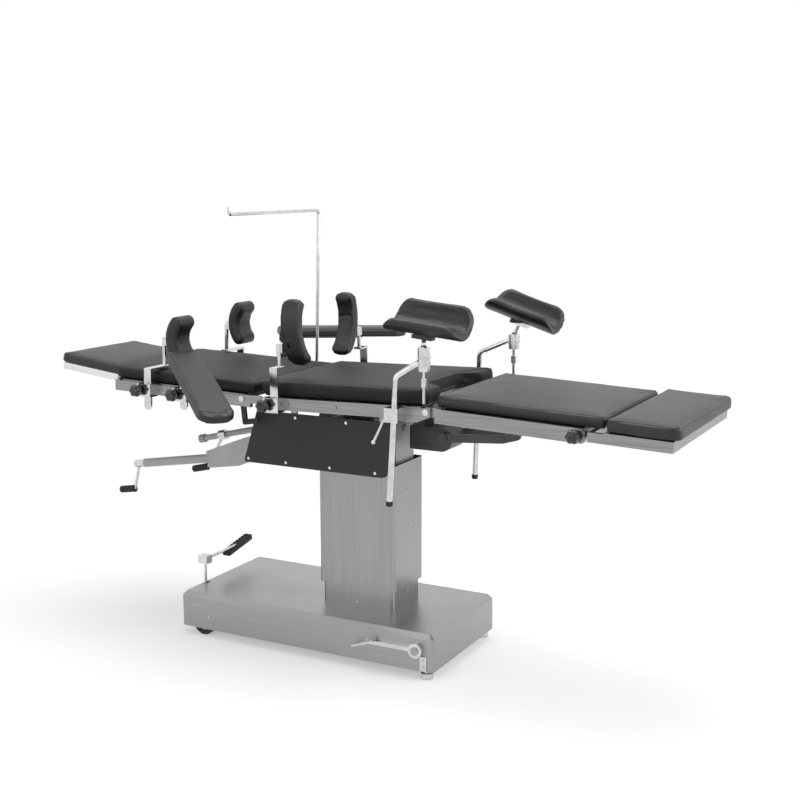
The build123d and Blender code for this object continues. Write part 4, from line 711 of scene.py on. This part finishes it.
# %% Model one knob
knob_radius, knob_length, collar_length, lobes = 0.0202, 0.024, 0.007, 6
around = 48
bpy.ops.object.select_all(action="DESELECT")
bpy.ops.mesh.primitive_cylinder_add(vertices=around, radius=knob_radius, depth=0.010,
                                    end_fill_type="NGON", location=(0, 0, knob_length * 0.42))
knob_model = bpy.context.object
knob_model.name = "knob_model"
bpy.ops.object.transform_apply(location=True, rotation=True, scale=True)
valley = {0: 1.0, 1: 0.985, 2: 0.93, 3: 0.86, 4: 0.82}
step_angle = 2 * math.pi / around
for phase in range(1, 5):
    for vertex in knob_model.data.vertices:
        place = round(math.atan2(vertex.co.y, vertex.co.x) / step_angle) % (around // lobes)
        vertex.select = min(place, around // lobes - place) == phase
    for edge in knob_model.data.edges:
        edge.select = False
    for face in knob_model.data.polygons:
        face.select = False
    edit_by("VERT")
    bpy.ops.transform.resize(value=(valley[phase], valley[phase], 1.0), center_override=(0, 0, 0))
    bpy.ops.object.mode_set(mode="OBJECT")


def close_end(piece, sign, steps):
    """Extrudes the end cap that looks along sign z by (distance, scale) steps."""
    for face in piece.data.polygons:
        face.select = face.normal.z * sign > 0.9 and len(face.vertices) > 8
    edit_by("FACE")
    for distance, scale in steps:
        bpy.ops.mesh.extrude_region_move(TRANSFORM_OT_translate={"value": (0, 0, sign * distance)})
        bpy.ops.transform.resize(value=(scale, scale, 1.0), center_override=(0, 0, 0))
    bpy.ops.object.mode_set(mode="OBJECT")


close_end(knob_model, 1, [(0.0045, 0.88), (0.0025, 0.78), (0.0014, 0.62), (0.0004, 0.3)])
close_end(knob_model, -1, [(0.0030, 0.86), (0.0019, 0.68), (0.0002, 0.62), (0.0010, 1.0),
                           (collar_length, 1.0)])
only(knob_model)
rounder = knob_model.modifiers.new("rounder", "SUBSURF")
rounder.levels = rounder.render_levels = 1
apply_all(knob_model)
print("knob size, mm:", [round(d / MM, 1) for d in knob_model.dimensions])


# %% Place the knobs
def loose_shells(node_name):
    """The separate shells of a CAD node, each as its own object."""
    shells = copy_of(node_name, f"{node_name}_shell")
    only(shells)
    bpy.ops.object.mode_set(mode="EDIT")
    bpy.ops.mesh.select_all(action="SELECT")
    bpy.ops.mesh.separate(type="LOOSE")
    bpy.ops.object.mode_set(mode="OBJECT")
    return sorted(bpy.context.selected_objects,
                  key=lambda shell: tuple(round(c, 4) for c in shell.data.vertices[0].co))


def box_of(piece):
    """Lowest and highest corner of a mesh whose place is in its vertices."""
    places = [vertex.co for vertex in piece.data.vertices]
    return (Vector([min(p[i] for p in places) for i in range(3)]),
            Vector([max(p[i] for p in places) for i in range(3)]))


for node_name in ("foot_knobs", "clamp_knobs_back", "clamp_knobs_seat"):
    heads, bars = [], []
    for shell in loose_shells(node_name):
        low, high = box_of(shell)
        size = high - low
        if max(size) < 0.05 and size.x > 0.03 and size.z > 0.03:
            side = 1 if (low.y + high.y) > 0 else -1
            inner = low.y if side > 0 else high.y
            head = bpy.data.objects.new("head", knob_model.data.copy())
            scene.collection.objects.link(head)
            middle = (low + high) / 2
            head.rotation_euler = (math.radians(-90 if side > 0 else 90), 0, 0)
            head.location = (middle.x, inner + side * collar_length, middle.z)
            only(head)
            bpy.ops.object.transform_apply(location=True, rotation=True, scale=True)
            heads.append(head)
            bpy.data.objects.remove(shell)
        else:
            bars.append(shell)
    knobs = finish_piece(joined(heads, f"lobed_{node_name}"), body_of(node_name), phenolic)
    bpy.ops.object.shade_smooth()
    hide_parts(node_name)
    if bars:
        finish_piece(joined(bars, f"tommy_bars_{body_of(node_name)}"), body_of(node_name),
                     chrome)
    print(node_name, "knobs:", len(heads), "bars:", len(bars))
bpy.data.objects.remove(knob_model)

# %% [markdown]
# ## Ridged crank grips
#
# The grips that turn on the cranks are black moulded sleeves with rings for the fingers. A cylinder
# one band long is extruded band by band, every other ring is drawn in a little, and both ends are
# rounded.


# %% Grips
def turned_to(piece, direction, place):
    """Turns a piece made along +Z to a direction, puts it at a place and applies both."""
    piece.rotation_euler = Vector(direction).to_track_quat("Z", "Y").to_euler()
    piece.location = place
    only(piece)
    bpy.ops.object.transform_apply(location=True, rotation=True, scale=True)
    return piece


grip_length, grip_radius, grip_bands = 0.0605, 0.0119, 16
grip_band = grip_length / (grip_bands + 2)


def ridged_grip(name, root, direction, node_name):
    """A sleeve with finger rings, from its root along a direction."""
    bpy.ops.object.select_all(action="DESELECT")
    bpy.ops.mesh.primitive_cylinder_add(vertices=32, radius=grip_radius, depth=grip_band,
                                        location=(0, 0, grip_band / 2))
    grip = bpy.context.object
    bpy.ops.object.transform_apply(location=True, rotation=True, scale=True)
    close_end(grip, 1, [(grip_band, 0.87), (grip_band, 1 / 0.87)] * (grip_bands // 2)
              + [(grip_band / 2, 0.8), (grip_band / 4, 0.5)])
    close_end(grip, -1, [(0.0004, 0.8)])
    only(grip)
    rounder = grip.modifiers.new("rounder", "SUBSURF")
    rounder.levels = rounder.render_levels = 1
    apply_all(grip)
    turned_to(grip, direction, root)
    grip.name = name
    finish_piece(grip, body_of(node_name), moulded_rubber)
    bpy.ops.object.shade_smooth()
    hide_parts(node_name)


ridged_grip("front_ridged_grip", (-0.786, -0.165, 0.436), (-0.987151, 0, -0.159791), "front_grip")
ridged_grip("rear_ridged_grip", (-0.601, -0.020, 0.499), (-0.972479, 0, -0.23299), "rear_grip")

# %% [markdown]
# ## Castors
#
# The base rolls on solid rubber tyres pressed on grey hubs. The tyre is a short cylinder with
# rounded shoulders and a groove beside each shoulder. The hub is a dished disc, raised in the
# middle.

# %% Castors
for node_name in ("head_wheel_near", "head_wheel_far", "foot_wheel_near", "foot_wheel_far"):
    low, high = (Vector(corner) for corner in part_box(node_name))
    middle, width = (low + high) / 2, high.y - low.y
    tyre_radius = (high.z - low.z) / 2
    bpy.ops.object.select_all(action="DESELECT")
    bpy.ops.mesh.primitive_cylinder_add(vertices=64, radius=tyre_radius, depth=width)
    tyre = bpy.context.object
    for face in tyre.data.polygons:
        face.select = abs(face.normal.z) > 0.9
    edit_by("FACE")
    bpy.ops.mesh.inset(thickness=0.0035)
    bpy.ops.mesh.inset(thickness=0.002, depth=-0.0012)
    bpy.ops.mesh.inset(thickness=0.002, depth=0.0012)
    bpy.ops.mesh.inset(thickness=0.004, depth=0.0)
    bpy.ops.mesh.inset(thickness=0.0012, depth=-0.004)
    bpy.ops.object.mode_set(mode="OBJECT")
    shoulders = tyre.modifiers.new("shoulders", "BEVEL")
    shoulders.width, shoulders.segments, shoulders.limit_method = 0.0012, 2, "ANGLE"
    apply_all(tyre)
    turned_to(tyre, (0, 1, 0), middle)
    tyre.name = node_name.replace("wheel", "tyre")
    finish_piece(tyre, body_of(node_name), castor_rubber)
    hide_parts(node_name)
    bpy.ops.object.select_all(action="DESELECT")
    bpy.ops.mesh.primitive_cylinder_add(vertices=48, radius=tyre_radius * 0.62,
                                        depth=width - 0.004)
    hub = bpy.context.object
    for face in hub.data.polygons:
        face.select = abs(face.normal.z) > 0.9
    edit_by("FACE")
    bpy.ops.mesh.inset(thickness=0.003)
    bpy.ops.mesh.inset(thickness=0.006, depth=-0.003)
    bpy.ops.mesh.inset(thickness=0.004, depth=0.004)
    bpy.ops.object.mode_set(mode="OBJECT")
    eased = hub.modifiers.new("eased", "BEVEL")
    eased.width, eased.segments, eased.limit_method = 0.0006, 2, "ANGLE"
    apply_all(hub)
    turned_to(hub, (0, 1, 0), middle)
    hub.name = node_name.replace("wheel", "hub")
    finish_piece(hub, body_of(node_name), light_enamel)
print("castors made")

# %% [markdown]
# ## Screws
#
# Small pan-head screws hold the covers. One is modelled at 6 mm across, with a round recess, and
# copied to each place, turned to the face it sits on. Those that ride together are joined.

# %% Screws
screw_radius, screw_height = 0.0032, 0.0022
bpy.ops.object.select_all(action="DESELECT")
bpy.ops.mesh.primitive_cylinder_add(vertices=24, radius=screw_radius, depth=screw_height,
                                    location=(0, 0, screw_height / 4))
screw_model = bpy.context.object
bpy.ops.object.transform_apply(location=True, rotation=True, scale=True)
for face in screw_model.data.polygons:
    face.select = face.normal.z > 0.9
edit_by("FACE")
bpy.ops.mesh.inset(thickness=0.0006, depth=0.0003)
bpy.ops.mesh.inset(thickness=0.0011)
bpy.ops.mesh.inset(thickness=0.0001, depth=-0.0012)
bpy.ops.object.mode_set(mode="OBJECT")
screw_places = {
    "base": [((-0.4644, -0.218, 0.0666), (0, -1, 0)), ((-0.4644, 0.218, 0.0666), (0, 1, 0)),
             ((-0.0017, -0.087, 0.1509), (0, -1, 0)), ((-0.0017, 0.087, 0.1509), (0, 1, 0)),
             ((0.123, 0.0006, 0.1813), (1, 0, 0)), ((-0.123, 0.0006, 0.1813), (-1, 0, 0))],
    "column": [((0.132, -0.0045, 0.5036), (1, 0, 0)), ((0.132, 0.0005, 0.3933), (1, 0, 0)),
               ((-0.132, -0.0045, 0.5036), (-1, 0, 0)), ((-0.132, 0.0005, 0.3933), (-1, 0, 0))],
}
for body, places in screw_places.items():
    copies = []
    for place, normal in places:
        copied = bpy.data.objects.new("screw", screw_model.data.copy())
        scene.collection.objects.link(copied)
        copies.append(turned_to(copied, normal, place))
    finish_piece(joined(copies, f"cover_screws_{body}"), body, chrome)
bpy.data.objects.remove(screw_model)
print("screws:", {body: len(places) for body, places in screw_places.items()})

# %% [markdown]
# ## Leg holder details
#
# The lower end of each bent rod has a black plastic cap. The ball cup near its top is tightened by
# two knurled chrome rings, and the saddle plate under each trough is black.

# %% Rod caps and cup rings
rod_ends = {"near": ((0.221, -0.290, 0.529), (0.243, -0.290, 0.894)),
            "far": ((0.217, 0.290, 0.484), (0.230, 0.290, 0.888))}
cup_places = {"near": (0.316, -0.265, 0.943), "far": (0.348, 0.285, 0.941)}
cap_radius, cap_length = 0.0098, 0.013
for word, (end, knee) in rod_ends.items():
    along = (Vector(end) - Vector(knee)).normalized()
    bpy.ops.object.select_all(action="DESELECT")
    bpy.ops.mesh.primitive_cylinder_add(vertices=32, radius=cap_radius, depth=cap_length)
    end_cap = bpy.context.object
    for face in end_cap.data.polygons:
        face.select = face.normal.z > 0.9
    edit_by("FACE")
    bpy.ops.mesh.inset(thickness=0.0022, depth=0.0012)
    bpy.ops.mesh.inset(thickness=0.003, depth=0.0008)
    bpy.ops.object.mode_set(mode="OBJECT")
    turned_to(end_cap, along, Vector(end) - along * (cap_length / 2 - 0.0005))
    end_cap.name = f"rod_cap_{word}"
    finish_piece(end_cap, f"holder_{word}", moulded_rubber)
    rings = []
    for height in (0.006, -0.009):
        bpy.ops.object.select_all(action="DESELECT")
        bpy.ops.mesh.primitive_cylinder_add(vertices=72, radius=0.0186, depth=0.0055)
        ring = bpy.context.object
        for face in ring.data.polygons:
            turn_number = int(round(math.atan2(face.center.y, face.center.x) / math.radians(5)))
            face.select = abs(face.normal.z) < 0.5 and turn_number % 2 == 0
        edit_by("FACE")
        bpy.ops.mesh.inset(thickness=0.0002, depth=-0.0005, use_individual=True)
        bpy.ops.object.mode_set(mode="OBJECT")
        rings.append(turned_to(ring, (0, 0, 1), Vector(cup_places[word]) + Vector((0, 0, height))))
    finish_piece(joined(rings, f"cup_rings_{word}"), f"holder_{word}", chrome)
print("rod caps and rings made")

# %% Black saddles
saddle_finish = metal_finish("chrome_stem_black_saddle", "#c4c6c7", "#dcdddd", 0.14, 0.03,
                             (0.02, 0.02, 0.02), haze_size=0.05, relief=0.00001)
tree = saddle_finish.node_tree
shader = tree.nodes["Principled BSDF"]
plate = add_node(tree, "ShaderNodeBsdfPrincipled",
                 {"Base Color": linear("#171718"), "Roughness": 0.45})
place = add_node(tree, "ShaderNodeTexCoord")
parts = add_node(tree, "ShaderNodeSeparateXYZ", None, {"Vector": place.outputs["Object"]})
upper = add_node(tree, "ShaderNodeMath", {"operation": "GREATER_THAN", 1: 0.990},
                 {0: parts.outputs["Z"]})
both = add_node(tree, "ShaderNodeMixShader", None,
                {0: upper.outputs[0], 1: shader.outputs[0], 2: plate.outputs[0]})
tree.links.new(both.outputs[0], tree.nodes["Material Output"].inputs["Surface"])
for name in ("leg_joint_near", "leg_joint_far"):
    mesh = nodes[name].data
    if not mesh.materials:
        mesh.materials.append(saddle_finish)
    for slot in range(len(mesh.materials)):
        mesh.materials[slot] = saddle_finish

# %% [markdown]
# ## Brake bracket
#
# Below the brake pedal's boss a narrow steel strap runs down the base to the jack foot, held by two
# bolts. It is a thin bar with bevelled edges.

# %% Brake strap
bpy.ops.object.select_all(action="DESELECT")
bpy.ops.mesh.primitive_cube_add(size=1.0, location=(0.292, -0.2205, 0.052))
strap = bpy.context.object
strap.name = "brake_strap"
bpy.ops.transform.resize(value=(0.021, 0.006, 0.044))
bpy.ops.object.transform_apply(location=True, rotation=True, scale=True)
eased = strap.modifiers.new("eased", "BEVEL")
eased.width, eased.segments = 0.0012, 2
apply_all(strap)
bolts = []
for height in (0.040, 0.062):
    bpy.ops.object.select_all(action="DESELECT")
    bpy.ops.mesh.primitive_cylinder_add(vertices=6, radius=0.0055, depth=0.004)
    bolt = bpy.context.object
    for face in bolt.data.polygons:
        face.select = face.normal.z > 0.9
    edit_by("FACE")
    bpy.ops.mesh.inset(thickness=0.0008, depth=0.0004)
    bpy.ops.object.mode_set(mode="OBJECT")
    bolts.append(turned_to(bolt, (0, -1, 0), (0.292, -0.2252, height)))
finish_piece(joined([strap] + bolts, "brake_strap"), "base", chrome)
print("strap box, mm:", [[round(c / MM) for c in corner] for corner in box_of(strap)])

# %% [markdown]
# ## Finish
#
# Last, the CAD nodes are deselected.

# %% Finish
for node in nodes.values():
    node.select_set(False)
